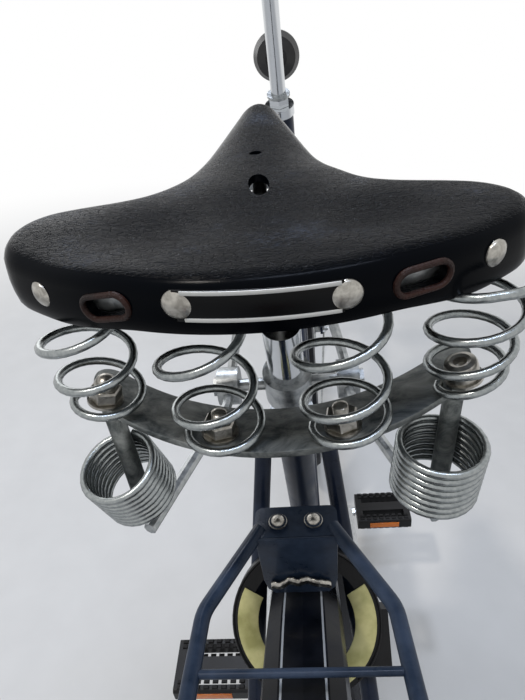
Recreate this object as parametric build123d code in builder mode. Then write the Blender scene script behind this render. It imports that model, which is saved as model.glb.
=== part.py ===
"""A city bicycle with a sprung leather saddle, parked leaning on its side stand.

It is laid out upright, in millimetres: +X to the rider's right, +Y forward from the bottom bracket,
+Z up from the ground. The last section leans the whole bicycle onto its stand and writes it out.
"""

from build123d import *

import os
from math import acos, atan2, copysign, cos, degrees, pi, radians, sin, sqrt, tan

# Wheels and tyres
rim_radius = 314.0
tyre_height = 38.0
tyre_width = 42.0
tread_share = 0.22
rim_depth = 14.0
rim_width = 25.0
rim_flange = 1.6
spoke_count = 36
spoke_width = 2.0
axle_radius = 5.0
axle_end = 14.0
running_clearance = 0.3
fit_clearance = 0.05
seat_gap = 0.3

# Frame layout, with the room that is left round the wheels
wheel_radius = rim_radius + tyre_height
bb_height = 290.0
rear_wheel_room = 103.0
front_wheel_room = 283.0
rear_axle_back = wheel_radius + rear_wheel_room
front_axle_ahead = wheel_radius + front_wheel_room
seat_angle = 72.0
head_angle = 70.0
fork_offset = 55.0
seat_tube_over_wheel = 44.0
head_tube_over_wheel = 48.0
head_tube_length = 165.0
upper_tube_foot = 270.0
upper_tube_low = (130.0, 300.0)
upper_tube_bend = 260.0
tube_end_inset = 36.0

# Frame tubes
seat_tube_radius = 16.0
down_tube_radius = 18.0
upper_tube_radius = 15.0
head_tube_radius = 20.0
head_tube_bore = 16.5
steerer_radius = 14.3
headset_height = 14.0
headset_radius = 22.0
bb_shell_radius = 20.0
bb_shell_half = 34.0
bb_cup_width = 5.0
spindle_radius = 8.5
chain_stay_radius = 8.0
seat_stay_radius = 7.5
seat_stay_top_drop = 26.0
seat_stay_bend = 220.0
chain_stay_bend = 150.0
seat_stay_top_half = 29.0
seat_stay_bend_half = 46.0
seat_stay_bend_share = 0.39
dropout_half = 61.5
dropout_thick = 6.0
dropout_radius = 17.0
fork_end_half = 50.5
fork_end_thick = 5.0

# Seat post
seat_post_radius = 13.6
seat_post_insert = 90.0
seat_post_showing = 124.0
seat_clamp_height = 18.0

# Saddle, placed by the middle of its rear band
saddle_rear = -320.0
saddle_band_z = 960.0
leather_thick = 5.0
saddle_rounding = 13.0
saddle_pitch = 2.6
saddle_rear_half = 104.0
saddle_rear_sweep = 36.0
saddle_wing_reach = 62.0
saddle_corner = 30.0
saddle_waist = (64.0, 107.0)
saddle_waist_bend = 46.0
saddle_tip = (21.0, 246.0)
band_low = -11.0
band_high = 22.0
skirt_low = -44.0
plate_thick = 2.5
plate_depth = 46.0
plate_half = 100.0
plate_corner = 9.0
band_slot = (24.0, 8.0)
band_slot_at = (63.6, 1.7)
nose_hole_at = 129.0
nose_hole_radius = 6.0
spring_wire = 4.4
spring_top_radius = 24.2
spring_foot_radius = 19.0
spring_turns = 4.5
spring_sides = 10
inner_spring = (31.5, 32.5)
outer_spring = (88.5, 46.0)
nut_radius = 7.5
nut_thick = 5.0
bolt_radius = 4.0
bolt_tip = 12.0
bridge_up = -84.0
bridge_rise = 20.0
bridge_thick = 4.0
bridge_half = 112.0
bridge_depth = 32.0
bridge_back = 8.0
coil_radius = 27.0
coil_wire = 4.8
coil_turns = 9
coil_place = (82.0, 20.0)
coil_top = -101.0
hanger_radius = 5.0
hanger_top = (90.0, 38.0)
disc_thick = 4.0
rail_radius = 4.0
rail_bends = (20.0, 20.0, 14.0)
rail_half = 46.0
clamp_half = 58.0
clamp_height = 30.0
clamp_plate = 15.0
nose_low = -6.0
nose_high = 26.0

# Steering
quill_radius = 11.0
stem_top_z = 1056.0
stem_reach = 62.0
stem_rise = 28.0
bar_half_width = 300.0
bar_rise = 42.0
bar_sweep = 190.0
bell_out = 50.0
bell_radius = 26.0
bell_height = 16.0
bar_radius = 12.7
grip_radius = 16.5
grip_length = 130.0
fork_blade_radius = 9.0
fork_blade_bend = 220.0
fork_bend_over_axle = 130.0
fork_half = 48.0
crown_height = 21.0

# Hubs, by wheel
hub_half = {"rear": 32.0, "front": 38.0}
hub_barrel = {"rear": 22.0, "front": 15.0}
hub_flange = {"rear": 28.0, "front": 20.0}
spoke_lead = 62.0

# Drive
chain_line = 45.0
case_half_thick = 11.5
case_edge = 5.0
case_front_radius = 94.0
case_rear_radius = 52.0
crank_length = 170.0
crank_down_deg = 18.0
crank_inner_face = 64.0
crank_thick = 13.0
pedal_length = 96.0
pedal_depth = 66.0
pedal_thick = 24.0
pedal_gap = 8.0
pedal_axle_radius = 5.5

# Mudguards and rack, with the eyes they bolt to, measured from the rear axle
rack_eye = (-3.0, 28.0)
guard_eyes = ((-17.0, 14.0), (-21.0, -6.0))
fork_eye = (-21.0, 4.0)
eye_radius = 6.0
guard_half = 29.0
guard_room = 22.0
guard_radius = wheel_radius + guard_room
guard_wall = 1.6
guard_drop = 22.0
rear_guard_span = (92.0, 112.0)
front_guard_span = (24.0, 108.0)
guard_stay = 2.5
rack_over_wheel = 46.0
rack_tube = 5.0
rack_rod = 2.4
rack_leg = 3.5
rack_half = 63.0
rack_front = -254.0
rack_length = 386.0
rack_rods = 4
rack_bolt_half = 12.5

# Lock and lamp
lock_inside_tread = 16.0
lock_radius = 62.0
lock_inner = 48.0
lock_gap_half = 30.0
lock_thick = 16.0
lamp_radius = 36.0
lamp_depth = 40.0
lamp_clear = 0.3
brake_gap = 2.5
lamp_over_head = 70.0
lamp_rim = 14.0
lamp_ahead = 96.0

# Parking
lean_deg = 6.0
stand_foot_radius = 11.0
stand_pivot = Vector(-84.0, -395.0, 300.0)
stand_foot_out = 196.0
stand_foot_back = 358.0
stand_radius = 7.5

# Points that follow from the driving sizes
wheel_top = 2 * wheel_radius
seat_tube_top_z = wheel_top + seat_tube_over_wheel
head_tube_low_z = wheel_top + head_tube_over_wheel
bb = Vector(0, 0, bb_height)
rear_axle = Vector(0, -rear_axle_back, wheel_radius)
front_axle = Vector(0, front_axle_ahead, wheel_radius)
seat_slope = Vector(0, -cos(radians(seat_angle)), sin(radians(seat_angle)))
steer_slope = Vector(0, -cos(radians(head_angle)), sin(radians(head_angle)))
steer_base = front_axle - Vector(0, fork_offset / sin(radians(head_angle)), 0)


def on_seat_tube(height):
    """The point of the seat tube's axis at this height."""
    return bb + seat_slope * ((height - bb_height) / seat_slope.Z)


def on_steerer(height):
    """The point of the steering axis at this height."""
    return steer_base + steer_slope * ((height - wheel_radius) / steer_slope.Z)


def on_saddle(x, ahead, up):
    """A point given from the middle of the saddle's rear band."""
    return Vector(x, saddle_rear + ahead, saddle_band_z + up)


def flip(point):
    """The same point on the other side of the bicycle."""
    return Vector(-point.X, point.Y, point.Z)


def bar_section(plane, radius, sides):
    """The section of a bar: round, or with flat sides."""
    with BuildSketch(plane, mode=Mode.PRIVATE) as section:
        if sides:
            RegularPolygon(radius, sides)
        else:
            Circle(radius)
    return section.sketch


def rod(start, end, radius, sides=0):
    """A straight bar between two points, added to the part being built."""
    start, end = Vector(*start), Vector(*end)
    extrude(bar_section(Plane(origin=start, z_dir=end - start), radius, sides), amount=(end - start).length)


def tube_path(points, bends):
    """Straight runs joined by tangent bends."""
    with BuildLine(mode=Mode.PRIVATE) as path:
        FilletPolyline(*points, radius=bends)
    return path.line


def bent_rod(points, radius, bends, sides=0, mode=Mode.ADD):
    """A bar along straight runs joined by tangent bends, added to the part being built."""
    path = tube_path(points, bends)
    sweep(bar_section(Plane(origin=path @ 0, z_dir=path % 0), radius, sides), path=path, mode=mode)


def across(centre):
    """The plane through a wheel's axle in which its sections are drawn: X across, Y outward."""
    return Plane(origin=centre, x_dir=(1, 0, 0), z_dir=(0, -1, 0))


# Head tube and its headset cups, bored for the steerer
head_low = on_steerer(head_tube_low_z)
head_high = head_low + steer_slope * head_tube_length
steer_plane = Plane(origin=head_low, x_dir=(1, 0, 0), z_dir=steer_slope)
with BuildPart() as head_tube:
    with BuildSketch(steer_plane):
        Circle(head_tube_radius)
        Circle(head_tube_bore, mode=Mode.SUBTRACT)
    extrude(amount=head_tube_length)
head_tube.part.label = "head_tube"

with BuildPart() as headset_cups:
    for base in (-headset_height, head_tube_length):
        with BuildSketch(steer_plane.offset(base)):
            Circle(headset_radius)
            Circle(steerer_radius + running_clearance, mode=Mode.SUBTRACT)
        extrude(amount=headset_height)
headset_cups.part.label = "headset_cups"

# Bottom bracket shell with its cups, bored for the spindle
with BuildPart() as bottom_bracket:
    for radius, half in ((bb_shell_radius, bb_shell_half), (bb_shell_radius - 3, bb_shell_half + bb_cup_width)):
        with BuildSketch(Plane.YZ.offset(-half)):
            with Locations((bb.Y, bb.Z)):
                Circle(radius)
        extrude(amount=2 * half)
    with BuildSketch(Plane.YZ.offset(-bb_shell_half - bb_cup_width)):
        with Locations((bb.Y, bb.Z)):
            Circle(spindle_radius + running_clearance)
    extrude(amount=2 * (bb_shell_half + bb_cup_width), mode=Mode.SUBTRACT)
bottom_bracket.part.label = "bottom_bracket"

# Plain cylinders that other tubes are coped against
with BuildPart() as head_core:
    rod(head_low, head_high, head_tube_radius)
with BuildPart() as bb_core:
    rod(bb - Vector(bb_shell_half, 0, 0), bb + Vector(bb_shell_half, 0, 0), bb_shell_radius)
seat_tube_top = on_seat_tube(seat_tube_top_z)
with BuildPart() as seat_core:
    rod(bb, seat_tube_top, seat_tube_radius)

# Seat tube, bored for the seat post, standing on the shell
with BuildPart() as seat_tube:
    add(seat_core.part)
    add(bb_core.part, mode=Mode.SUBTRACT)
    with BuildSketch(Plane(origin=seat_tube_top, z_dir=-seat_slope)):
        Circle(seat_post_radius + fit_clearance)
    extrude(amount=seat_post_insert + seat_gap, mode=Mode.SUBTRACT)
seat_tube.part.label = "seat_tube"

# Down tube and the low swept upper tube, coped to what they meet
down_top = head_low + steer_slope * tube_end_inset
with BuildPart() as down_tube:
    rod(bb, down_top, down_tube_radius)
    for mate in (head_core, headset_cups, bb_core, seat_core):
        add(mate.part, mode=Mode.SUBTRACT)
down_tube.part.label = "down_tube"

upper_top = head_low + steer_slope * (head_tube_length - tube_end_inset)
upper_low = bb + Vector(0, *upper_tube_low)
upper_foot = on_seat_tube(bb_height + upper_tube_foot)
with BuildPart() as upper_tube:
    bent_rod([upper_top, upper_low, upper_foot], upper_tube_radius, upper_tube_bend)
    for mate in (head_core, seat_core):
        add(mate.part, mode=Mode.SUBTRACT)
upper_tube.part.label = "upper_tube"

# Chain stays and seat stays, bent round the tyre, and the rear dropouts
dropout_x = dropout_half + dropout_thick / 2
with BuildPart() as chain_stays:
    for side in (1, -1):
        run = [
            (side * 25, -6, bb.Z),
            (side * 37, -110, bb.Z + 12),
            (side * dropout_x, rear_axle.Y + 24, rear_axle.Z - 6),
        ]
        bent_rod(run, chain_stay_radius, chain_stay_bend)
    for mate in (bb_core, bottom_bracket, seat_core):
        add(mate.part, mode=Mode.SUBTRACT)
chain_stays.part.label = "chain_stays"

stay_top = on_seat_tube(seat_tube_top_z - seat_stay_top_drop) + Vector(seat_stay_top_half, -4, 0)
stay_end = Vector(dropout_x, rear_axle.Y + 13, rear_axle.Z + 20)
stay_bend = stay_top + (stay_end - stay_top) * seat_stay_bend_share
stay_bend = Vector(seat_stay_bend_half, stay_bend.Y, stay_bend.Z)
stay_bridge = stay_top + (stay_bend - stay_top) * 0.45
with BuildPart() as seat_stays:
    for side in (1, -1):
        run = [Vector(side * p.X, p.Y, p.Z) for p in (stay_top, stay_bend, stay_end)]
        bent_rod(run, seat_stay_radius, seat_stay_bend)
    rod(stay_top + Vector(3, 0, -7), flip(stay_top) + Vector(-3, 0, -7), seat_stay_radius - 1)
    rod(stay_bridge, flip(stay_bridge), 5)
    add(seat_core.part, mode=Mode.SUBTRACT)
seat_stays.part.label = "seat_stays"

with BuildPart() as rear_dropouts:
    for side in (1, -1):
        with BuildSketch(Plane.YZ.offset(side * dropout_x - dropout_thick / 2)):
            with Locations((rear_axle.Y, rear_axle.Z)):
                Circle(dropout_radius)
            for dy, dz in (rack_eye, *guard_eyes):
                with Locations((rear_axle.Y + dy, rear_axle.Z + dz)):
                    Circle(eye_radius)
            with BuildLine():
                Polyline(
                    (rear_axle.Y - 4, rear_axle.Z + 15),
                    (rear_axle.Y + 18, rear_axle.Z + 34),
                    (rear_axle.Y + 40, rear_axle.Z + 4),
                    (rear_axle.Y + 38, rear_axle.Z - 16),
                    (rear_axle.Y, rear_axle.Z - 16),
                    close=True,
                )
            make_face()
            with Locations((rear_axle.Y, rear_axle.Z)):
                Circle(axle_radius, mode=Mode.SUBTRACT)
        extrude(amount=dropout_thick)
    add(chain_stays.part, mode=Mode.SUBTRACT)
    add(seat_stays.part, mode=Mode.SUBTRACT)
rear_dropouts.part.label = "rear_dropouts"

# Seat post and the collar that clamps it
post_top = on_seat_tube(seat_tube_top_z + seat_post_showing)
post_foot = seat_tube_top - seat_slope * seat_post_insert
with BuildPart() as seat_post:
    rod(post_foot, post_top, seat_post_radius)
seat_post.part.label = "seat_post"

with BuildPart() as seat_collar:
    collar_low = seat_tube_top + seat_slope * seat_gap
    rod(collar_low, collar_low + seat_slope * seat_clamp_height, seat_tube_radius + 3)
    lug = collar_low + seat_slope * (seat_clamp_height / 2)
    with BuildSketch(Plane(origin=lug, x_dir=(1, 0, 0), z_dir=seat_slope).offset(-seat_clamp_height / 2)):
        with Locations((0, -seat_tube_radius - 6)):
            Rectangle(20, 16)
    extrude(amount=seat_clamp_height)
    rod(lug + Vector(-17, -24, -7), lug + Vector(17, -24, -7), 3.5)
    with BuildSketch(Plane(origin=collar_low, z_dir=seat_slope)):
        Circle(seat_post_radius + fit_clearance)
    extrude(amount=seat_clamp_height, mode=Mode.SUBTRACT)
seat_collar.part.label = "seat_collar"

# Saddle top: one hide over wide wings and a narrow nose, drawn down all round into a skirt.
# It is drawn in a plane that rises a little towards the nose. The hollow below it is the same form again,
# one hide further in.
saddle_ahead = Vector(0, cos(radians(saddle_pitch)), sin(radians(saddle_pitch)))
saddle_plane = Plane(origin=on_saddle(0, 0, 0), x_dir=(1, 0, 0), z_dir=Vector(1, 0, 0).cross(saddle_ahead))
nose_taper = atan2(saddle_waist[0] - saddle_tip[0], saddle_tip[1] - saddle_waist[1])
saddle_length = saddle_tip[1] + saddle_tip[0] / cos(nose_taper) * (1 - sin(nose_taper))
rear_radius = (saddle_rear_half**2 + saddle_rear_sweep**2) / (2 * saddle_rear_sweep)


def rear_arc(x):
    """How far ahead of its middle the saddle's rear edge lies at this distance to the side."""
    return rear_radius - sqrt(rear_radius**2 - x**2)


def saddle_form(inset, foot):
    """The saddle's outline seen from above, drawn up to the top, whose edge is rounded over."""
    with BuildPart() as form:
        with BuildSketch(saddle_plane.offset(foot)):
            with BuildLine():
                rear = ThreePointArc((-saddle_rear_half, saddle_rear_sweep), (0, 0),
                                     (saddle_rear_half, saddle_rear_sweep))
                wing = rear @ 1 + (rear % 1) * saddle_wing_reach
                side = FilletPolyline(rear @ 1, wing, saddle_waist, saddle_tip,
                                      radius=(saddle_corner, saddle_waist_bend))
                mirror(side, about=Plane.YZ)
                ThreePointArc(saddle_tip, (0, saddle_length), (-saddle_tip[0], saddle_tip[1]))
            make_face()
            if inset:
                offset(amount=-inset)
        extrude(amount=band_high - inset - foot)
        fillet(form.faces().sort_by(Axis.Z)[-1].edges(), radius=saddle_rounding - inset)
    return form.part


skirt_room = 20.0
hide = saddle_form(0, skirt_low - skirt_room)
hollow = saddle_form(leather_thick, skirt_low - 2 * skirt_room)
skirt_back, skirt_deep, skirt_front = 72.0, 145.0, saddle_length + skirt_room
with BuildPart() as saddle_leather:
    add(hide)
    with BuildSketch(Plane(origin=on_saddle(0, 0, 0), x_dir=saddle_ahead, z_dir=(1, 0, 0))) as below_skirt:
        with BuildLine():
            ThreePointArc((skirt_back, band_low), (skirt_deep, skirt_low), (skirt_front, band_low))
            Polyline((skirt_front, band_low), (skirt_front, skirt_low - 2 * skirt_room),
                     (-skirt_room, skirt_low - 2 * skirt_room), (-skirt_room, band_low), (skirt_back, band_low))
        make_face()
    extrude(amount=2 * saddle_rear_half, both=True, mode=Mode.SUBTRACT)
    add(hollow, mode=Mode.SUBTRACT)
    for side in (1, -1):
        x, up = side * band_slot_at[0], band_slot_at[1]
        outward = Vector(x, rear_arc(x) - rear_radius, 0)
        with BuildSketch(Plane(origin=on_saddle(x, rear_arc(x), up), z_dir=outward), mode=Mode.PRIVATE) as slot:
            SlotOverall(*band_slot, rotation=90)
        extrude(slot.sketch, amount=leather_thick * 2, both=True, mode=Mode.SUBTRACT)
    with BuildSketch(saddle_plane, mode=Mode.PRIVATE) as keyhole:
        with Locations((0, nose_hole_at)):
            Circle(nose_hole_radius)
    extrude(keyhole.sketch, amount=band_high, mode=Mode.SUBTRACT)
saddle_leather.part.label = "saddle_leather"

# Crescent plate riveted inside the rear band, which the upper springs hang from
with BuildPart() as cantle_plate:
    with BuildSketch(saddle_plane.offset(band_low)):
        with Locations((0, rear_radius)):
            Circle(rear_radius - leather_thick - 2 * fit_clearance)
        with Locations((0, rear_radius + plate_depth)):
            Circle(rear_radius, mode=Mode.SUBTRACT)
        Rectangle(2 * plate_half, 4 * rear_radius, mode=Mode.INTERSECT)
    extrude(amount=plate_thick)
    fillet(cantle_plate.edges().filter_by(lambda edge: abs(edge.length - plate_thick) < fit_clearance),
           radius=plate_corner)
cantle_plate.part.label = "cantle_plate"

# Bridge plate: a crescent that rises towards its ends and joins the feet of all the springs
bridge_radius = (bridge_half**2 + bridge_rise**2) / (2 * bridge_rise)


def bridge_z(x):
    """The height of the bridge plate's upper face at this distance from the middle."""
    return bridge_up + bridge_radius - sqrt(bridge_radius**2 - x**2)


with BuildPart() as bridge_plate:
    with BuildSketch(Plane(origin=on_saddle(0, -20, 0), x_dir=(1, 0, 0), z_dir=(0, 1, 0))):
        with Locations((0, -bridge_up - bridge_radius)):
            Circle(bridge_radius + bridge_thick)
            Circle(bridge_radius, mode=Mode.SUBTRACT)
    extrude(amount=140)
    with BuildSketch(Plane(origin=on_saddle(0, 0, bridge_up - bridge_rise))):
        with Locations((0, rear_radius + bridge_back)):
            Circle(rear_radius)
        with Locations((0, rear_radius + bridge_back + bridge_depth)):
            Circle(rear_radius, mode=Mode.SUBTRACT)
        Rectangle(2 * bridge_half, 4 * rear_radius, mode=Mode.INTERSECT)
    extrude(amount=3 * bridge_rise, mode=Mode.INTERSECT)
bridge_plate.part.label = "bridge_plate"

# Four conical springs between the cantle plate and the bridge plate, each wound in short straight runs
spring_places = [(side * x, y) for x, y in (inner_spring, outer_spring) for side in (1, -1)]
with BuildPart() as saddle_springs:
    for x, y in spring_places:
        outer = abs(x) + spring_foot_radius
        low = bridge_z(outer) + (seat_gap + spring_wire / 2) / sqrt(1 - (outer / bridge_radius)**2)
        high = band_low + y * tan(radians(saddle_pitch)) - seat_gap - spring_wire / 2
        steps = round(spring_turns * spring_sides)
        wire_run = []
        for step in range(steps + 1):
            share, angle = step / steps, 2 * pi * step / spring_sides
            radius = spring_foot_radius + (spring_top_radius - spring_foot_radius) * share
            out, ahead = copysign(radius, x) * cos(angle), radius * sin(angle)
            wire_run.append(on_saddle(x + out, y + ahead, low + (high - low) * share))
        with BuildLine(mode=Mode.PRIVATE) as coil:
            Polyline(*wire_run)
        section = bar_section(Plane(origin=coil.line @ 0, z_dir=coil.line % 0), spring_wire / 2, 6)
        sweep(section, path=coil.line, transition=Transition.RIGHT)
saddle_springs.part.label = "saddle_springs"

# Bolts with their nuts up through the feet of the springs
with BuildPart() as spring_bolts:
    for x, y in spring_places:
        seat = on_saddle(x, y, bridge_z(abs(x) + nut_radius) + seat_gap)
        rod(seat, seat + Vector(0, 0, nut_thick), nut_radius, 6)
        rod(seat + Vector(0, 0, nut_thick), seat + Vector(0, 0, bolt_tip), bolt_radius, 12)
spring_bolts.part.label = "spring_bolts"

# Two stacks of heavy coils beside the bridge plate, with a rod from the plate's end down each
coil_foot = coil_top - coil_turns * coil_wire
with BuildPart() as coil_packs:
    for side in (1, -1):
        place = Plane(origin=on_saddle(side * coil_place[0], coil_place[1], coil_top),
                      x_dir=(1, 0, 0), z_dir=(0, -1, 0))
        with BuildSketch(place):
            with BuildLine():
                crests = []
                for turn in range(coil_turns):
                    crests += [(coil_radius - coil_wire * 0.32, -turn * coil_wire),
                               (coil_radius, -(turn + 0.5) * coil_wire)]
                crests.append((coil_radius - coil_wire * 0.32, -coil_turns * coil_wire))
                Polyline(*crests, (coil_radius - coil_wire, -coil_turns * coil_wire),
                         (coil_radius - coil_wire, 0), close=True)
            make_face()
        revolve(axis=Axis(place.origin, (0, 0, 1)))
coil_packs.part.label = "coil_packs"

with BuildPart() as hanger_rods:
    for side in (1, -1):
        foot = on_saddle(side * coil_place[0], coil_place[1], coil_foot - seat_gap)
        x, y = hanger_top
        top = on_saddle(side * x, y, bridge_z(x - hanger_radius) - bridge_thick - seat_gap - hanger_radius * 0.32)
        rod(top, foot - Vector(0, 0, disc_thick / 2), hanger_radius)
        rod(foot, foot - Vector(0, 0, disc_thick), coil_radius - coil_wire * 0.5)
hanger_rods.part.label = "hanger_rods"

# Two rails from under the coils, through the clamp, up to the nose
rail_up = coil_foot - disc_thick - 2 * seat_gap - rail_radius
clamp_at = on_seat_tube(saddle_band_z + rail_up)
rail_runs = {}
for side in (1, -1):
    x, y = side * coil_place[0], coil_place[1]
    rail_runs[side] = [
        on_saddle(x, y, rail_up),
        Vector(side * rail_half, clamp_at.Y - 26, clamp_at.Z),
        Vector(side * rail_half, clamp_at.Y + 26, clamp_at.Z),
        on_saddle(side * 9, 224, nose_low - rail_radius - seat_gap),
        on_saddle(side * 9, 240, nose_low - rail_radius - seat_gap),
    ]
with BuildPart() as saddle_rails:
    for side in (1, -1):
        bent_rod(rail_runs[side], rail_radius, rail_bends, 8)
saddle_rails.part.label = "saddle_rails"

# Nose iron that the hide is stretched over, held down onto the rails
with BuildPart() as nose_iron:
    with BuildSketch(Plane(origin=on_saddle(0, 0, nose_low))):
        with BuildLine():
            Polyline((-15, 212), (-11, 244), (11, 244), (15, 212), close=True)
        make_face()
    extrude(amount=nose_high - nose_low)
    rod(on_saddle(0, 212, (nose_low + nose_high) / 2), on_saddle(0, 176, (nose_low + nose_high) / 2), 3.5)
nose_iron.part.label = "nose_iron"

# Clamp: a sleeve on the post, a through bolt, and a pair of plates round each rail
with BuildPart() as saddle_clamp:
    rod(clamp_at - seat_slope * (clamp_height / 2), clamp_at + seat_slope * (clamp_height / 2), seat_post_radius + 5)
    rod(clamp_at + Vector(-clamp_half, 0, 0), clamp_at + Vector(clamp_half, 0, 0), 5, 12)
    for side in (1, -1):
        middle = clamp_at + Vector(side * rail_half, 0, 0)
        rod(middle - Vector(8, 0, 0), middle + Vector(8, 0, 0), clamp_plate)
        nut = clamp_at + Vector(side * (clamp_half - 4), 0, 0)
        rod(nut - Vector(4, 0, 0), nut + Vector(4, 0, 0), 8, 6)
        bent_rod(rail_runs[side], rail_radius + fit_clearance, rail_bends, 8, mode=Mode.SUBTRACT)
    rod_plane = Plane(origin=clamp_at - seat_slope * 40, z_dir=seat_slope)
    with BuildSketch(rod_plane):
        Circle(seat_post_radius + fit_clearance)
    extrude(amount=80, mode=Mode.SUBTRACT)
saddle_clamp.part.label = "saddle_clamp"

# Spoked wheels: tyre, rim, hub and laced spokes by the same rules at each end
def tyre_section():
    """The tyre's section: it narrows into the rim and is flattened a little at the tread."""
    half, out = tyre_width / 2, wheel_radius
    inner = rim_width / 2 - rim_flange - fit_clearance
    low = rim_radius - rim_depth * 0.45
    right = [(inner, low), (inner, rim_radius + 0.6), (half, rim_radius + tyre_height * 0.38),
             (half * 0.72, out - tyre_height * 0.16), (half * tread_share, out)]
    return right + [(-x, y) for x, y in reversed(right)]


def rim_section():
    """The rim's section: a shallow well between two bead flanges."""
    half, low = rim_width / 2, rim_radius - rim_depth
    floor = rim_radius - rim_depth * 0.45 - fit_clearance
    right = [(half * 0.55, low), (half, rim_radius - rim_depth * 0.6), (half, rim_radius),
             (half - rim_flange, rim_radius), (half - rim_flange, floor)]
    return right + [(-x, y) for x, y in reversed(right)]


def spokes_of(centre, flange_x, flange_radius, flange_thick):
    """Tangential spokes, four sets that cross one another, from hub flanges to rim."""
    per_side = spoke_count // 2
    reach = rim_radius - rim_depth - 0.2
    for index in range(spoke_count):
        side = 1 if index % 2 else -1
        pair, lead = divmod(index // 2, 2)
        turn = 1 if lead else -1
        rim_angle = 2 * pi * index / spoke_count
        hub_angle = rim_angle - turn * radians(spoke_lead)
        offset = flange_thick / 2 + spoke_width / 2 + (1.4 if lead else 0.2)
        hub_x = side * (flange_x + (offset if lead else -offset))
        tip_x = side * 3.0
        start = centre + Vector(hub_x, cos(hub_angle) * flange_radius, sin(hub_angle) * flange_radius)
        end = centre + Vector(tip_x, cos(rim_angle) * reach, sin(rim_angle) * reach)
        rod(start, end, spoke_width / 2, 4)


wheels = {}
for name, centre in (("rear", rear_axle), ("front", front_axle)):
    flange_radius, flange_thick = hub_flange[name], 3.0
    flange_x = hub_half[name] - 4.0
    spin = Axis(centre, (1, 0, 0))
    with BuildPart() as tyre:
        with BuildSketch(across(centre)):
            with BuildLine():
                Polyline(*tyre_section(), close=True)
            make_face()
        revolve(axis=spin)
    with BuildPart() as rim:
        with BuildSketch(across(centre)):
            with BuildLine():
                Polyline(*rim_section(), close=True)
            make_face()
        revolve(axis=spin)
    with BuildPart() as hub:
        with BuildSketch(across(centre)):
            with BuildLine():
                bore, barrel, end = axle_radius + running_clearance, hub_barrel[name], hub_half[name]
                right = [(end, bore), (end, barrel - 4), (flange_x + 1.5, barrel), (flange_x + 1.5, flange_radius + 4),
                         (flange_x - 1.5, flange_radius + 4), (flange_x - 1.5, barrel)]
                Polyline(*right, *[(-x, y) for x, y in reversed(right)], close=True)
            make_face()
        revolve(axis=spin)
    with BuildPart() as spokes:
        spokes_of(centre, flange_x, flange_radius, flange_thick)
    wheels[name] = (tyre, rim, hub, spokes)
    for sub, kind in zip(wheels[name], ("tyre", "rim", "hub", "spokes")):
        sub.part.label = f"{name}_{kind}"

# Axles with their cones, washers and nuts
axles = {}
for name, centre, inner, thick in (("rear", rear_axle, dropout_half, dropout_thick),
                                   ("front", front_axle, fork_end_half, fork_end_thick)):
    with BuildPart() as axle:
        end = Vector(inner + thick + axle_end, 0, 0)
        rod(centre - end, centre + end, axle_radius - fit_clearance)
        for side in (1, -1):
            for start, end, radius, sides in (
                (hub_half[name] + seat_gap, inner - fit_clearance, 8.5, 0),
                (inner + thick + fit_clearance, inner + thick + 2, 10, 0),
                (inner + thick + 2, inner + thick + 10, 8.7, 6),
            ):
                rod(centre + Vector(side * start, 0, 0), centre + Vector(side * end, 0, 0), radius, sides)
    axle.part.label = f"{name}_axle"
    axles[name] = axle

# Spindle, crank arms, pedals
crank_dir = Vector(0, cos(radians(crank_down_deg)), -sin(radians(crank_down_deg)))
pedal_pins = {side: bb + crank_dir * (side * crank_length) for side in (1, -1)}
with BuildPart() as cranks:
    rod(bb - Vector(crank_inner_face + 2, 0, 0), bb + Vector(crank_inner_face + 2, 0, 0), spindle_radius)
    for side in (1, -1):
        base = bb + Vector(side * crank_inner_face, 0, 0)
        plane = Plane(origin=base, x_dir=crank_dir * side, z_dir=(side, 0, 0))
        with BuildSketch(plane, mode=Mode.PRIVATE) as arm:
            Circle(17)
            with Locations((crank_length, 0)):
                Circle(12)
            with BuildLine():
                Polyline((0, 15), (crank_length, 10.5), (crank_length, -10.5), (0, -15), close=True)
            make_face()
        extrude(arm.sketch, amount=crank_thick)
        pin = pedal_pins[side] + Vector(side * (crank_inner_face + crank_thick - 1), 0, 0)
        rod(pin, pin + Vector(side * (1 + pedal_gap + pedal_length - 6), 0, 0), pedal_axle_radius)
        rod(pin, pin + Vector(side * (1 + pedal_gap - 2), 0, 0), 8, 6)
cranks.part.label = "cranks"

pedals = {}
for side, name in ((1, "pedal_right"), (-1, "pedal_left")):
    start = pedal_pins[side] + Vector(side * (crank_inner_face + crank_thick + pedal_gap), 0, 0)
    with BuildPart() as pedal:
        plane = Plane(origin=start, x_dir=(0, 1, 0), z_dir=(side, 0, 0))
        with BuildSketch(plane, mode=Mode.PRIVATE) as body:
            RectangleRounded(pedal_depth, pedal_thick, 5)
        extrude(body.sketch, amount=pedal_length)
        for way in (1, -1):
            slot_x = start + Vector(side * pedal_length / 2, way * (pedal_depth / 2 - 16), -pedal_thick / 2 - 1)
            with BuildSketch(Plane(origin=slot_x), mode=Mode.PRIVATE) as slot:
                Rectangle(pedal_length - 22, 16)
            extrude(slot.sketch, amount=pedal_thick + 2, mode=Mode.SUBTRACT)
        with BuildSketch(plane, mode=Mode.PRIVATE) as bore:
            Circle(pedal_axle_radius + running_clearance)
        extrude(bore.sketch, amount=pedal_length - 4, mode=Mode.SUBTRACT)
    pedal.part.label = name
    pedals[name] = pedal

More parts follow.
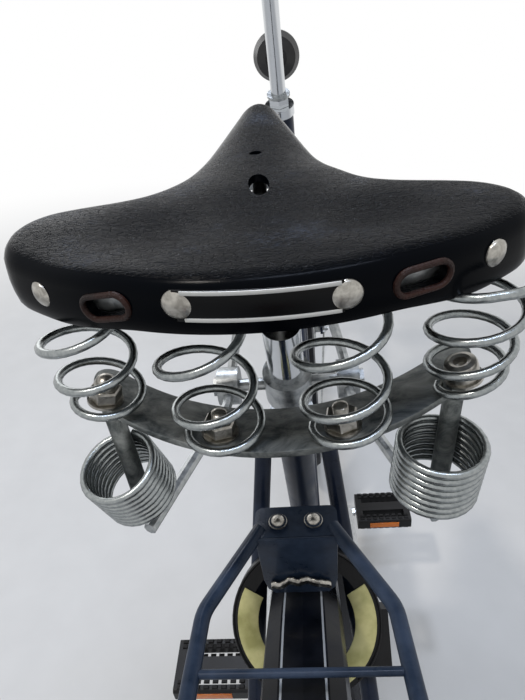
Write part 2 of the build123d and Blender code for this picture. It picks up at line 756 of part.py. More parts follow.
# Closed chain case: a flat housing round chainring and sprocket, on the right of the chain stay
case_in, case_out = chain_line - case_half_thick, chain_line + case_half_thick
gap_len = (rear_axle - bb).length
case_slope = atan2(rear_axle.Z - bb.Z, rear_axle.Y - bb.Y)
case_flare = acos((case_front_radius - case_rear_radius) / gap_len)
with BuildPart() as chain_case:
    with BuildSketch(Plane.YZ.offset(case_in)):
        with Locations((bb.Y, bb.Z)):
            Circle(case_front_radius)
        with Locations((rear_axle.Y, rear_axle.Z)):
            Circle(case_rear_radius)
        with BuildLine():
            corners = [
                (c.Y + r * cos(case_slope + way * case_flare), c.Z + r * sin(case_slope + way * case_flare))
                for c, r, way in ((bb, case_front_radius, 1), (rear_axle, case_rear_radius, 1),
                                  (rear_axle, case_rear_radius, -1), (bb, case_front_radius, -1))
            ]
            Polyline(*corners, close=True)
        make_face()
    extrude(amount=2 * case_half_thick)
    chamfer(chain_case.faces().sort_by(Axis.X)[-1].edges(), length=case_edge)
    with BuildSketch(Plane.YZ.offset(case_in - 1)):
        with Locations((bb.Y, bb.Z)):
            Circle(bb_shell_radius + seat_gap)
        with Locations((rear_axle.Y, rear_axle.Z)):
            Circle(9)
    extrude(amount=2 * case_half_thick + 2, mode=Mode.SUBTRACT)
    add(chain_stays.part, mode=Mode.SUBTRACT)
    add(seat_stays.part, mode=Mode.SUBTRACT)
chain_case.part.label = "chain_case"

# Mudguards: one thin section with rolled edges, swung part of the way round each wheel
def guard_section():
    """A mudguard's section: flat crown, rounded shoulders and a lip on each side."""
    outer = [(guard_half, guard_radius - guard_drop), (guard_half - 3, guard_radius - 8),
             (guard_half - 13, guard_radius - 1), (0, guard_radius)]
    inner = [(0, guard_radius - guard_wall), (guard_half - 14, guard_radius - 1 - guard_wall),
             (guard_half - 3 - guard_wall, guard_radius - 8 - guard_wall * 0.6),
             (guard_half - guard_wall, guard_radius - guard_drop)]
    return outer, inner


guards = {}
for name, centre, (ahead, behind) in (("rear", rear_axle, rear_guard_span), ("front", front_axle, front_guard_span)):
    with BuildPart() as guard:
        start = Plane(origin=centre, x_dir=(1, 0, 0),
                      z_dir=(0, -cos(radians(ahead)), sin(radians(ahead))))
        with BuildSketch(start):
            with BuildLine():
                outer, inner = guard_section()
                right = outer[:-1]
                Polyline(*[(-x, y) for x, y in right], outer[-1], *reversed(right),
                         *reversed(inner), *[(-x, y) for x, y in inner[1:]], close=True)
            make_face()
        revolve(axis=Axis(centre, (1, 0, 0)), revolution_arc=ahead + behind)
    guard.part.label = f"{name}_mudguard"
    guards[name] = guard

# Wire stays that hold the mudguards, two a side at the rear and one a side in front
def on_wheel(centre, angle, radius, x):
    """A point beside a wheel, its angle measured back from straight up."""
    return centre + Vector(x, -sin(radians(angle)) * radius, cos(radians(angle)) * radius)


guard_stays = {}
for name, centre, angles, eyes, face in (
    ("rear", rear_axle, (62, 98), guard_eyes, dropout_half + dropout_thick),
    ("front", front_axle, (88,), (fork_eye,), fork_end_half + fork_end_thick),
):
    with BuildPart() as stays:
        for side in (1, -1):
            for angle, (dy, dz) in zip(angles, eyes):
                foot = centre + Vector(side * (face + seat_gap + 3), dy, dz)
                clip = on_wheel(centre, angle, guard_radius - guard_drop + 5, side * (guard_half + guard_stay + seat_gap))
                rod(foot, clip, guard_stay)
                rod(foot - Vector(side * 3, 0, 0), foot + Vector(side * 3, 0, 0), 4.5)
    stays.part.label = f"{name}_mudguard_stays"
    guard_stays[name] = stays

# Rear rack: a tube bent round the loading deck, with cross rods, a plate in front and four legs
rack_z = wheel_top + rack_over_wheel - rack_tube
rack_rear = rack_front - rack_length
front_half = rack_bolt_half + 13
with BuildPart() as rear_rack:
    rim_run = [
        (-front_half, rack_front - 2, rack_z), (-rack_half + 4, rack_front - 62, rack_z),
        (-rack_half, rack_front - 130, rack_z), (-rack_half, rack_rear, rack_z),
        (rack_half, rack_rear, rack_z), (rack_half, rack_front - 130, rack_z),
        (rack_half - 4, rack_front - 62, rack_z), (front_half, rack_front - 2, rack_z),
    ]
    bent_rod(rim_run, rack_tube, (26, 40, 30, 30, 40, 26))
    rack_taper = 130.0
    rod_pitch = (rack_length - rack_taper) / rack_rods
    for index in range(rack_rods):
        y = rack_front - rack_taper - rod_pitch * (index + 0.25)
        rod((-rack_half, y, rack_z), (rack_half, y, rack_z), rack_rod, 8)
    with BuildSketch(Plane(origin=(0, rack_front, rack_z - 2))):
        with Locations((0, 2)):
            RectangleRounded(2 * front_half + 8, 26, 6)
        with Locations((-rack_bolt_half, 0), (rack_bolt_half, 0)):
            Circle(3.2, mode=Mode.SUBTRACT)
    extrude(amount=4)
    for side in (1, -1):
        foot = rear_axle + Vector(side * (dropout_half + dropout_thick + seat_gap + 3.5), *rack_eye)
        for share in (0.25, 0.7):
            rod(foot, (side * rack_half, rack_front - rack_taper - (rack_length - rack_taper) * share, rack_z),
                rack_leg, 10)
        rod(foot - Vector(side * 3.5, 0, 0), foot + Vector(side * 3.5, 0, 0), 5)
rear_rack.part.label = "rear_rack"

with BuildPart() as rack_bracket:
    bridge_point = Vector(0, stay_bridge.Y, stay_bridge.Z)
    low = Vector(0, rack_front, rack_z - 2 - seat_gap)
    with BuildSketch(Plane(origin=(-18, 0, 0), x_dir=(0, 1, 0), z_dir=(1, 0, 0)), mode=Mode.PRIVATE) as strap:
        with BuildLine():
            Polyline((low.Y - 9, low.Z), (low.Y + 14, low.Z), (bridge_point.Y - 6, bridge_point.Z + 8),
                     (bridge_point.Y + 9, bridge_point.Z + 8), (bridge_point.Y + 9, bridge_point.Z + 5.3),
                     (bridge_point.Y - 7, bridge_point.Z + 5.3), (low.Y + 13, low.Z - 3), (low.Y - 9, low.Z - 3),
                     close=True)
        make_face()
    extrude(strap.sketch, amount=36)
    with Locations((-rack_bolt_half, rack_front, rack_z - 3), (rack_bolt_half, rack_front, rack_z - 3)):
        Cylinder(3, 10, align=(Align.CENTER, Align.CENTER, Align.MIN))
    with Locations((-rack_bolt_half, rack_front, rack_z + 2 + fit_clearance),
                   (rack_bolt_half, rack_front, rack_z + 2 + fit_clearance)):
        Cylinder(6, 4, align=(Align.CENTER, Align.CENTER, Align.MIN))
rack_bracket.part.label = "rack_bracket"

# Ring lock on the rear face of the seat stays, open at the foot for the spokes
stay_dir = (stay_end - stay_bend).normalized()
lock_radial = Vector(0, -stay_dir.Y, -stay_dir.Z).normalized()
lock_back = Vector(0, -lock_radial.Z, lock_radial.Y)
lock_at = rear_axle + lock_radial * (wheel_radius - lock_inside_tread)
lock_shift = (Vector(0, stay_bend.Y, stay_bend.Z) - rear_axle).dot(lock_back)
lock_plane = Plane(origin=lock_at + lock_back * (lock_shift + seat_stay_radius + seat_gap), x_dir=(1, 0, 0),
                   z_dir=lock_back)
with BuildPart() as ring_lock:
    with BuildSketch(lock_plane):
        Circle(lock_radius)
        with Locations((lock_radius - 10, -18)):
            Rectangle(30, 52)
        Circle(lock_inner, mode=Mode.SUBTRACT)
        with Locations((0, -lock_radius if lock_plane.y_dir.dot(lock_radial) > 0 else lock_radius)):
            Rectangle(2 * lock_gap_half, lock_radius * 1.2, mode=Mode.SUBTRACT)
    extrude(amount=lock_thick)
ring_lock.part.label = "ring_lock"

# Rear lamp hung under the back of the rack
with BuildPart() as tail_lamp:
    with BuildSketch(Plane(origin=(0, rack_rear + 20, 0), x_dir=(1, 0, 0), z_dir=(0, -1, 0))):
        with Locations((0, rack_z - rack_tube - seat_gap - 20)):
            RectangleRounded(84, 40, 12)
    extrude(amount=30)
    chamfer(tail_lamp.faces().sort_by(Axis.Y)[0].edges(), length=5)
tail_lamp.part.label = "tail_lamp"

# Fork: steerer, crown plate, two blades that bend forward, and their ends
crown_top = head_low - steer_slope * (headset_height + seat_gap)
crown_low = crown_top - steer_slope * crown_height
with BuildPart() as fork:
    rod(crown_top, head_high + steer_slope * headset_height, steerer_radius)
    with BuildSketch(Plane(origin=crown_low, x_dir=(1, 0, 0), z_dir=steer_slope)):
        SlotOverall(2 * fork_half + 30, 30)
    extrude(amount=crown_height)
    for side in (1, -1):
        low_bend = on_steerer(wheel_radius + fork_bend_over_axle)
        run = [crown_low + Vector(side * fork_half, 0, 0), low_bend + Vector(side * fork_half, 0, 0),
               front_axle + Vector(side * (fork_end_half + fork_end_thick / 2), -7, 16)]
        bent_rod(run, fork_blade_radius, fork_blade_bend)
        with BuildSketch(Plane.YZ.offset(side * (fork_end_half + fork_end_thick / 2) - fork_end_thick / 2),
                         mode=Mode.PRIVATE) as end_plate:
            with Locations((front_axle.Y, front_axle.Z)):
                Circle(14)
            with Locations((front_axle.Y - 6, front_axle.Z + 15)):
                Circle(12)
            with Locations((front_axle.Y + fork_eye[0], front_axle.Z + fork_eye[1])):
                Circle(eye_radius)
            with Locations((front_axle.Y + fork_eye[0] / 2, front_axle.Z + fork_eye[1])):
                Rectangle(abs(fork_eye[0]), 2 * eye_radius)
        extrude(end_plate.sketch, amount=fork_end_thick)
    with BuildSketch(Plane.YZ.offset(-80)):
        with Locations((front_axle.Y, front_axle.Z)):
            Circle(axle_radius)
    extrude(amount=160, mode=Mode.SUBTRACT)
fork.part.label = "fork"

# Where the quill stem ends and where it holds the bar
quill_low = head_high + steer_slope * (headset_height + seat_gap)
quill_top = on_steerer(stem_top_z)
bar_at = Vector(0, quill_top.Y + stem_reach, stem_top_z + stem_rise)

# Swept handlebar
bar_half_run = [bar_at, bar_at + Vector(95, 0, 0), bar_at + Vector(175, 16, bar_rise),
                bar_at + Vector(bar_half_width - 24, -36, bar_rise + 4),
                bar_at + Vector(bar_half_width, -bar_sweep, bar_rise - 12)]
with BuildPart() as handlebar:
    run = [flip(p) for p in reversed(bar_half_run[1:])] + bar_half_run[1:]
    bent_rod(run, bar_radius, (60, 45, 40, 40, 45, 60))
handlebar.part.label = "handlebar"

# Quill stem with a forward arm to the handlebar clamp
with BuildPart() as stem:
    rod(quill_low, quill_top + steer_slope * 12, quill_radius)
    rod(quill_low, quill_low + steer_slope * 12, quill_radius + 5, 6)
    rod(quill_top, bar_at, quill_radius - 1)
    rod(bar_at - Vector(19, 0, 0), bar_at + Vector(19, 0, 0), bar_radius + 5)
    add(handlebar.part, mode=Mode.SUBTRACT)
stem.part.label = "stem"

# Grips and what else is clamped on the handlebar
bar_end, bar_knee = bar_half_run[-1], bar_half_run[-2]
bar_back = (bar_end - bar_knee).normalized()
with BuildPart() as grips:
    for side in (1, -1):
        end = bar_end if side > 0 else flip(bar_end)
        way = bar_back if side > 0 else flip(bar_back)
        rod(end - way * grip_length, end + way * 4, grip_radius)
    add(handlebar.part, mode=Mode.SUBTRACT)
grips.part.label = "grips"

with BuildPart() as brake_lever:
    clamp = bar_end - bar_back * (grip_length + 16)
    rod(clamp - bar_back * 9, clamp + bar_back * 9, bar_radius + 4)
    pivot = clamp + Vector(10, 6, -22)
    rod(clamp + Vector(4, 2, -12), pivot, 7)
    bent_rod([pivot, pivot + Vector(14, -30, -22), bar_end + Vector(6, 30, -44)], 4.5, 24, 6)
    add(handlebar.part, mode=Mode.SUBTRACT)
brake_lever.part.label = "brake_lever"

# Headlamp: a round shell on a bracket in front of the head tube
lamp_at = on_steerer(head_high.Z + lamp_over_head) + Vector(0, lamp_ahead, 0)
with BuildPart() as headlamp:
    with BuildSketch(Plane(origin=lamp_at, x_dir=(0, 0, 1), z_dir=(1, 0, 0))):
        with BuildLine():
            Polyline((0, lamp_depth), (lamp_radius * 0.45, lamp_depth * 0.88), (lamp_radius * 0.82, lamp_depth * 0.5),
                     (lamp_radius, 0), (lamp_radius, -lamp_rim), (0, -lamp_rim), close=True)
        make_face()
    revolve(axis=Axis(lamp_at, (0, 1, 0)))
headlamp.part.label = "headlamp"

# Bracket that carries the lamp from the headset
with BuildPart() as lamp_bracket:
    low = head_high + steer_slope * (headset_height + seat_gap + 13)
    rod(low, low + steer_slope * 4, quill_radius + 6)
    rod(low + steer_slope * 2 + Vector(0, quill_radius + 2, 0), lamp_at - Vector(0, lamp_depth + lamp_clear, 0), 4)
    with BuildSketch(Plane(origin=low - steer_slope * 5, z_dir=steer_slope)):
        Circle(quill_radius + fit_clearance)
    extrude(amount=20, mode=Mode.SUBTRACT)
    add(stem.part, mode=Mode.SUBTRACT)
    add(headlamp.part, mode=Mode.SUBTRACT)
lamp_bracket.part.label = "lamp_bracket"

# Bell: a domed cap on a clamp round the left of the bar
with BuildPart() as bell:
    seat = bar_at - Vector(bell_out, 0, 0)
    with BuildSketch(Plane(origin=seat - Vector(8, 0, 0), x_dir=(0, 1, 0), z_dir=(1, 0, 0))):
        Circle(bar_radius + 3)
        with Locations((0, bar_radius + 5)):
            Rectangle(10, 12)
        Circle(bar_radius + fit_clearance, mode=Mode.SUBTRACT)
    extrude(amount=16)
    with BuildSketch(Plane(origin=seat + Vector(0, 0, bar_radius + 10))):
        Circle(bell_radius)
    extrude(amount=bell_height / 2)
    extrude(bell.faces().sort_by(Axis.Z)[-1], amount=bell_height / 2, taper=40)
bell.part.label = "bell"

# Front brake: two arms that hang from the crown bolt round the mudguard, with a block at the rim
with BuildPart() as front_brake:
    forward = Vector(0, steer_slope.Z, -steer_slope.Y)
    bolt = crown_low + steer_slope * (crown_height / 2)
    plane_at = bolt + forward * (15 + seat_gap + 5)
    rod(bolt + forward * (15 + seat_gap), plane_at + forward * 9, 6)
    drop = (plane_at - front_axle).dot(steer_slope) - sqrt(
        (rim_radius - 7)**2 - ((plane_at - front_axle).dot(forward))**2)
    for side in (1, -1):
        reach = guard_half + 9
        run = [plane_at, plane_at + Vector(side * reach, 0, 0) - steer_slope * 10,
               plane_at + Vector(side * reach, 0, 0) - steer_slope * (drop - 12),
               plane_at + Vector(side * (rim_width / 2 + 12), 0, 0) - steer_slope * drop]
        bent_rod(run, 4.5, (14, 10), 6)
        pad = plane_at - steer_slope * drop
        outward = (pad - front_axle).normalized()
        block = Plane(origin=pad + Vector(side * (rim_width / 2 + brake_gap), 0, 0), x_dir=outward, z_dir=(side, 0, 0))
        with BuildSketch(block, mode=Mode.PRIVATE) as shoe:
            Rectangle(11, 46)
        extrude(shoe.sketch, amount=10)
front_brake.part.label = "front_brake"

# Side stand: a leg on a slanted pin behind the left dropout
lean = radians(lean_deg)
tread_half = tyre_width / 2 * tread_share
ground = -tread_half * sin(lean)
foot = Vector(-stand_foot_out, -stand_foot_back,
              (ground + stand_foot_radius + stand_foot_out * sin(lean)) / cos(lean))
down_dir = (foot - stand_pivot).normalized()
up_dir = Vector(-20, -300, 20).normalized()
stand_axis = down_dir.cross(up_dir).normalized()
stand_swing = degrees(acos(down_dir.dot(up_dir)))
with BuildPart() as stand_leg:
    rod(stand_pivot - stand_axis * 8, stand_pivot + stand_axis * 8, 12)
    rod(stand_pivot, foot, stand_radius)
    with Locations(foot):
        Sphere(stand_foot_radius)
    with BuildSketch(Plane(origin=stand_pivot - stand_axis * 20, z_dir=stand_axis)):
        Circle(4 + running_clearance)
    extrude(amount=40, mode=Mode.SUBTRACT)
stand_leg.part.label = "stand_leg"

with BuildPart() as stand_bracket:
    face = stand_pivot - stand_axis * (8 + seat_gap)
    rod(face, face - stand_axis * 17, 12)
    rod(face, stand_pivot + stand_axis * (8 + seat_gap), 4)
    rod(stand_pivot + stand_axis * (8 + seat_gap), stand_pivot + stand_axis * 13, 9)
    stay_point = Vector(-dropout_x + 1.5, stand_pivot.Y - 8, 343)
    rod(face - stand_axis * 11, stay_point, 6)
    add(chain_stays.part, mode=Mode.SUBTRACT)
    add(rear_dropouts.part, mode=Mode.SUBTRACT)
stand_bracket.part.label = "stand_bracket"

# The whole bicycle leans over onto its stand, and its middle comes to the origin on the ground
sub_parts = [
    head_tube, headset_cups, bottom_bracket, seat_tube, down_tube, upper_tube, chain_stays, seat_stays,
    rear_dropouts, seat_post, seat_collar, saddle_leather, cantle_plate, bridge_plate, saddle_springs,
    spring_bolts, coil_packs, hanger_rods, saddle_rails, nose_iron, saddle_clamp, cranks, chain_case,
    *pedals.values(), *axles.values(), *wheels["rear"], *wheels["front"], *guards.values(),
    *guard_stays.values(), rear_rack, rack_bracket, ring_lock, tail_lamp, fork, stem, handlebar, grips,
    brake_lever, bell, headlamp, lamp_bracket, front_brake, stand_leg, stand_bracket,
]
tilt = Location((0, 0, 0), (0, -lean_deg, 0))
boxes = [sub.part.moved(tilt).bounding_box() for sub in sub_parts]
low = [min(tuple(box.min)[i] for box in boxes) for i in range(3)]
high = [max(tuple(box.max)[i] for box in boxes) for i in range(3)]
settle = Location((-(low[0] + high[0]) / 2, -(low[1] + high[1]) / 2, -low[2]))
parked = settle * tilt

os.makedirs("parts", exist_ok=True)
for sub in sub_parts:
    stood = sub.part.moved(parked)
    stood.label = sub.part.label
    export_step(stood, f"parts/{stood.label}.step")
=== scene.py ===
# %% [markdown]
# # A city bicycle, seen from behind its sprung saddle
# The bicycle leans on its side stand, as it parks. The imported model brings every tube, rim and bracket at its
# real size and place, in metres, so this lesson never moves them. It gives each one its finish, and models
# what a workshop would add: the hide of the saddle, its springs, rivets, tread, studs, nipples and lenses.
# Leaving the frame fixed is what keeps the bicycle true to size while its surfaces are worked on.

# %% The imported frame
import math

import bmesh
import bpy
from mathutils import Matrix, Vector


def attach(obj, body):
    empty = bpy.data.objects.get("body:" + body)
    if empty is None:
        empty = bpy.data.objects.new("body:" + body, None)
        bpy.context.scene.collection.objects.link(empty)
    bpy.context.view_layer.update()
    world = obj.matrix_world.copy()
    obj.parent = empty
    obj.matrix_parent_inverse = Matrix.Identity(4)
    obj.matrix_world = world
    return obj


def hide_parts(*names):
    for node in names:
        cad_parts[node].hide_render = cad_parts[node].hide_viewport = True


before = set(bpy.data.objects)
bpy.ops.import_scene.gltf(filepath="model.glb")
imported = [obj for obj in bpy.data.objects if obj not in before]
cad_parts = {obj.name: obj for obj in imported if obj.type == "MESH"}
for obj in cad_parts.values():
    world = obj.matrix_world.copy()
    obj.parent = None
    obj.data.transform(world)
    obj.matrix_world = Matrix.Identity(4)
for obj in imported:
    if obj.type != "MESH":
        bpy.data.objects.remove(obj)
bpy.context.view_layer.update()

# %% [markdown]
# ## The camera
# The photograph was taken with a phone held close behind the saddle and tipped down by about a third of a right
# angle. A long lens from further off would flatten the springs and hide how wide the saddle is, so the camera
# stands where the phone was, with the same wide view.

# %% The camera behind the saddle
camera_place = Vector((0.0234, -0.5727, 1.0539))
camera_look = Vector((-0.0285, 0.8270, -0.5611))
camera_roll = math.radians(-0.2)
lens_mm = 27.05
film_mm = 36.0

camera_data = bpy.data.cameras.new("phone")
camera_data.lens = lens_mm
camera_data.sensor_width = film_mm
camera_data.clip_start = 0.01
camera_data.clip_end = 60
camera = bpy.data.objects.new("phone", camera_data)
bpy.context.collection.objects.link(camera)
turn = camera_look.to_track_quat("-Z", "Y").to_matrix().to_4x4()
camera.matrix_world = Matrix.Translation(camera_place) @ turn @ Matrix.Rotation(camera_roll, 4, "Z")
bpy.context.scene.camera = camera
print("camera tips down by", round(math.degrees(math.asin(-camera_look.normalized().z)), 1), "degrees")

# %% [markdown]
# ## Where things stand
# A bicycle is drawn upright and then leans as one. Each piece below is modelled upright, in millimetres, and is
# leaned over and shrunk to metres only when it is finished. The saddle has axes of its own, from the middle of its
# rear band, because its nose points up a little.

# %% Upright places and the lean
lean = math.radians(6)
mm = 0.001
parked = Matrix.Translation((0.116429, -0.079, 0.000483)) @ Matrix.Rotation(-lean, 4, "Y") @ Matrix.Scale(mm, 4)
saddle_pitch = math.radians(2.6)
saddle_axes = Matrix.Translation((0, -320, 960)) @ Matrix.Rotation(saddle_pitch, 4, "X")
saddle_level = Matrix.Translation((0, -320, 960))
print("the rear band's middle stands", round((parked @ saddle_axes @ Vector()).z, 3), "m above the floor")

# %% [markdown]
# ## Colours and nodes
# A finish is a small network of nodes. Every colour is written as the hex value that an eye would pick from a
# colour chart, and one function turns it to the linear numbers that the renderer wants. One more function adds a
# node with its settings and its links, so that each finish below reads as a list of what it is made of.

# %% Colours and nodes
def colour(code):
    """Linear red, green, blue and alpha of an sRGB hex value."""
    shares = [int(code[place:place + 2], 16) / 255 for place in (0, 2, 4)]
    linear = [s / 12.92 if s <= 0.04045 else ((s + 0.055) / 1.055) ** 2.4 for s in shares]
    return (*linear, 1.0)


def add(tree, kind, links=None, inputs=None, **settings):
    """A node of that kind, with its settings, its plain input values and its links from other nodes' sockets."""
    node = tree.nodes.new(kind)
    for name, value in settings.items():
        setattr(node, name, value)
    for name, value in (inputs or {}).items():
        node.inputs[name].default_value = value
    for name, socket in (links or {}).items():
        tree.links.new(socket, node.inputs[name])
    return node


def finish(name, **values):
    """A new material, its tree and its shader, whose sockets take the values named."""
    material = bpy.data.materials.new(name)
    material.use_nodes = True
    shader = material.node_tree.nodes["Principled BSDF"]
    for socket, value in values.items():
        shader.inputs[socket.replace("_", " ").title().replace("Ior", "IOR")].default_value = value
    return material, material.node_tree, shader


def upright(tree, axes=Matrix.Identity(4), stretch=(1, 1, 1)):
    """Coordinates that lean with the bicycle, in metres from those axes, squeezed by a stretch."""
    places = add(tree, "ShaderNodeTexCoord")
    frame_of = parked @ axes
    return add(tree, "ShaderNodeMapping", {"Vector": places.outputs["Object"]},
               {"Location": frame_of.translation, "Rotation": frame_of.to_euler(), "Scale": stretch},
               vector_type="TEXTURE").outputs["Vector"]


print("dark navy is", [round(value, 3) for value in colour("1E2430")[:3]])

# %% [markdown]
# ## Metals
# Three kinds of bare metal meet on this bicycle. Zinc plate is dull and faintly mottled, because its crystals
# reflect unevenly. Chrome is a mirror that only dust and fine polishing marks soften. Turned or drawn alloy keeps
# fine lines from the tool. All three are fully metallic, and they differ in how rough they are and in what makes
# the roughness uneven, so that is what each network changes.

# %% Zinc plate, chrome and alloy
zinc_plate, tree, shader = finish("zinc_plated_steel", metallic=1.0, roughness=0.34)
spots = add(tree, "ShaderNodeTexNoise", {"Vector": upright(tree)},
            {"Scale": 140.0, "Detail": 6.0, "Roughness": 0.62})
tone = add(tree, "ShaderNodeValToRGB", {"Fac": spots.outputs["Fac"]})
tone.color_ramp.elements[0].position, tone.color_ramp.elements[0].color = 0.36, colour("7E8284")
tone.color_ramp.elements[1].position, tone.color_ramp.elements[1].color = 0.62, colour("A9ACAD")
tree.links.new(tone.outputs["Color"], shader.inputs["Base Color"])
rough = add(tree, "ShaderNodeMapRange", {"Value": spots.outputs["Fac"]},
            {"From Min": 0.3, "From Max": 0.7, "To Min": 0.26, "To Max": 0.46})
tree.links.new(rough.outputs["Result"], shader.inputs["Roughness"])
grit = add(tree, "ShaderNodeTexNoise", {"Vector": upright(tree)}, {"Scale": 900.0, "Detail": 3.0})
dents = add(tree, "ShaderNodeBump", {"Height": grit.outputs["Fac"]}, {"Strength": 0.12, "Distance": 0.0004})
tree.links.new(dents.outputs["Normal"], shader.inputs["Normal"])

# The bridge plate has weathered darker, with pale blooms a centimetre wide and darker stains between them
weathered_zinc, tree, shader = finish("weathered_zinc_plate", metallic=0.9, roughness=0.5)
blooms = add(tree, "ShaderNodeTexNoise", {"Vector": upright(tree, stretch=(1.6, 1, 1))},
             {"Scale": 75.0, "Detail": 9.0, "Roughness": 0.7, "Distortion": 0.6})
tone = add(tree, "ShaderNodeValToRGB", {"Fac": blooms.outputs["Fac"]})
tone.color_ramp.elements[0].position, tone.color_ramp.elements[0].color = 0.38, colour("454A4B")
tone.color_ramp.elements[1].position, tone.color_ramp.elements[1].color = 0.66, colour("8F9290")
tree.links.new(tone.outputs["Color"], shader.inputs["Base Color"])
dents = add(tree, "ShaderNodeBump", {"Height": blooms.outputs["Fac"]}, {"Strength": 0.3, "Distance": 0.0006})
tree.links.new(dents.outputs["Normal"], shader.inputs["Normal"])

# Spring steel under thin zinc looks darker than the plate, and its round wire shows one bright line
spring_zinc, tree, shader = finish("zinc_plated_spring_wire", metallic=1.0, roughness=0.27)
streaks = add(tree, "ShaderNodeTexNoise", {"Vector": upright(tree)}, {"Scale": 520.0, "Detail": 5.0})
tone = add(tree, "ShaderNodeValToRGB", {"Fac": streaks.outputs["Fac"]})
tone.color_ramp.elements[0].position, tone.color_ramp.elements[0].color = 0.35, colour("858A8B")
tone.color_ramp.elements[1].position, tone.color_ramp.elements[1].color = 0.65, colour("999D9D")
tree.links.new(tone.outputs["Color"], shader.inputs["Base Color"])

chrome, tree, shader = finish("bright_chrome_plate", base_color=colour("C9CCCF"), metallic=1.0)
haze = add(tree, "ShaderNodeTexNoise", {"Vector": upright(tree)}, {"Scale": 60.0, "Detail": 7.0})
rough = add(tree, "ShaderNodeMapRange", {"Value": haze.outputs["Fac"]},
            {"From Min": 0.35, "From Max": 0.75, "To Min": 0.07, "To Max": 0.2})
tree.links.new(rough.outputs["Result"], shader.inputs["Roughness"])

# Nickel is warmer than chrome and picks up small dull scratches on a rivet's dome
nickel, tree, shader = finish("nickel_plated_rivet", metallic=1.0, roughness=0.3)
wear = add(tree, "ShaderNodeTexNoise", {"Vector": upright(tree)},
           {"Scale": 260.0, "Detail": 5.0, "Roughness": 0.6, "Distortion": 0.8})
tone = add(tree, "ShaderNodeValToRGB", {"Fac": wear.outputs["Fac"]})
tone.color_ramp.elements[0].position, tone.color_ramp.elements[0].color = 0.34, colour("85827C")
tone.color_ramp.elements[1].position, tone.color_ramp.elements[1].color = 0.62, colour("AEABA4")
tree.links.new(tone.outputs["Color"], shader.inputs["Base Color"])
dents = add(tree, "ShaderNodeBump", {"Height": wear.outputs["Fac"]}, {"Strength": 0.08, "Distance": 0.0002})
tree.links.new(dents.outputs["Normal"], shader.inputs["Normal"])

alloy, tree, shader = finish("drawn_aluminium_alloy", metallic=1.0, roughness=0.3)
lines = add(tree, "ShaderNodeTexNoise", {"Vector": upright(tree, stretch=(0.06, 1, 1))},
            {"Scale": 90.0, "Detail": 5.0})
tone = add(tree, "ShaderNodeValToRGB", {"Fac": lines.outputs["Fac"]})
tone.color_ramp.elements[0].position, tone.color_ramp.elements[0].color = 0.3, colour("9FA2A4")
tone.color_ramp.elements[1].position, tone.color_ramp.elements[1].color = 0.7, colour("C6C8CA")
tree.links.new(tone.outputs["Color"], shader.inputs["Base Color"])
rough = add(tree, "ShaderNodeMapRange", {"Value": lines.outputs["Fac"]}, {"To Min": 0.22, "To Max": 0.42})
tree.links.new(rough.outputs["Result"], shader.inputs["Roughness"])

# The raised silver edges of the bare plate get a pale, mostly unmetallic silver: a painted reflection that keeps them
# bright from every side
silver_with_painted_reflection, tree, shader = finish("silver_with_painted_reflection", base_color=colour("C9C9C5"), metallic=0.35)
scuffs = add(tree, "ShaderNodeTexNoise", {"Vector": upright(tree)}, {"Scale": 500.0, "Detail": 5.0})
rough = add(tree, "ShaderNodeMapRange", {"Value": scuffs.outputs["Fac"]}, {"To Min": 0.3, "To Max": 0.6})
tree.links.new(rough.outputs["Result"], shader.inputs["Roughness"])

# Yellow chromate over zinc gives lock plates their pale greenish gold
chromate, tree, shader = finish("yellow_chromated_zinc", metallic=0.55, roughness=0.45)
tint = add(tree, "ShaderNodeTexNoise", {"Vector": upright(tree)}, {"Scale": 50.0, "Detail": 4.0})
tone = add(tree, "ShaderNodeValToRGB", {"Fac": tint.outputs["Fac"]})
tone.color_ramp.elements[0].position, tone.color_ramp.elements[0].color = 0.35, colour("96935E")
tone.color_ramp.elements[1].position, tone.color_ramp.elements[1].color = 0.65, colour("C2BD88")
tree.links.new(tone.outputs["Color"], shader.inputs["Base Color"])
print("metals:", [m.name for m in (zinc_plate, weathered_zinc, spring_zinc, chrome, nickel, alloy, chromate)])

# %% [markdown]
# ## Enamel
# The frame and the rack are stove-enamelled: a hard dark coat, glossy from its own smooth skin, with a faint
# orange-peel ripple about four millimetres across and dust that dulls it in patches. The mudguards have the same
# coat in near-black, and two silver lines along their crown, which the network draws by distance from the middle.

# %% Navy enamel, black enamel and the lined mudguards
def enamel(name, dark, light, coat):
    """A coat between two close tones, rippled like orange peel and dulled by dust."""
    material, tree, shader = finish(name, roughness=0.3, coat_weight=coat, coat_roughness=0.1,
                                    specular_ior_level=0.12)
    dust = add(tree, "ShaderNodeTexNoise", {"Vector": upright(tree)},
               {"Scale": 26.0, "Detail": 8.0, "Roughness": 0.66})
    tone = add(tree, "ShaderNodeValToRGB", {"Fac": dust.outputs["Fac"]})
    tone.color_ramp.elements[0].position, tone.color_ramp.elements[0].color = 0.4, colour(dark)
    tone.color_ramp.elements[1].position, tone.color_ramp.elements[1].color = 0.72, colour(light)
    tree.links.new(tone.outputs["Color"], shader.inputs["Base Color"])
    rough = add(tree, "ShaderNodeMapRange", {"Value": dust.outputs["Fac"]},
                {"From Min": 0.35, "From Max": 0.7, "To Min": 0.24, "To Max": 0.5})
    tree.links.new(rough.outputs["Result"], shader.inputs["Roughness"])
    peel = add(tree, "ShaderNodeTexNoise", {"Vector": upright(tree)}, {"Scale": 250.0, "Detail": 2.0})
    ripple = add(tree, "ShaderNodeBump", {"Height": peel.outputs["Fac"]}, {"Strength": 0.06, "Distance": 0.0005})
    tree.links.new(ripple.outputs["Normal"], shader.inputs["Normal"])
    return material, tree, shader, tone


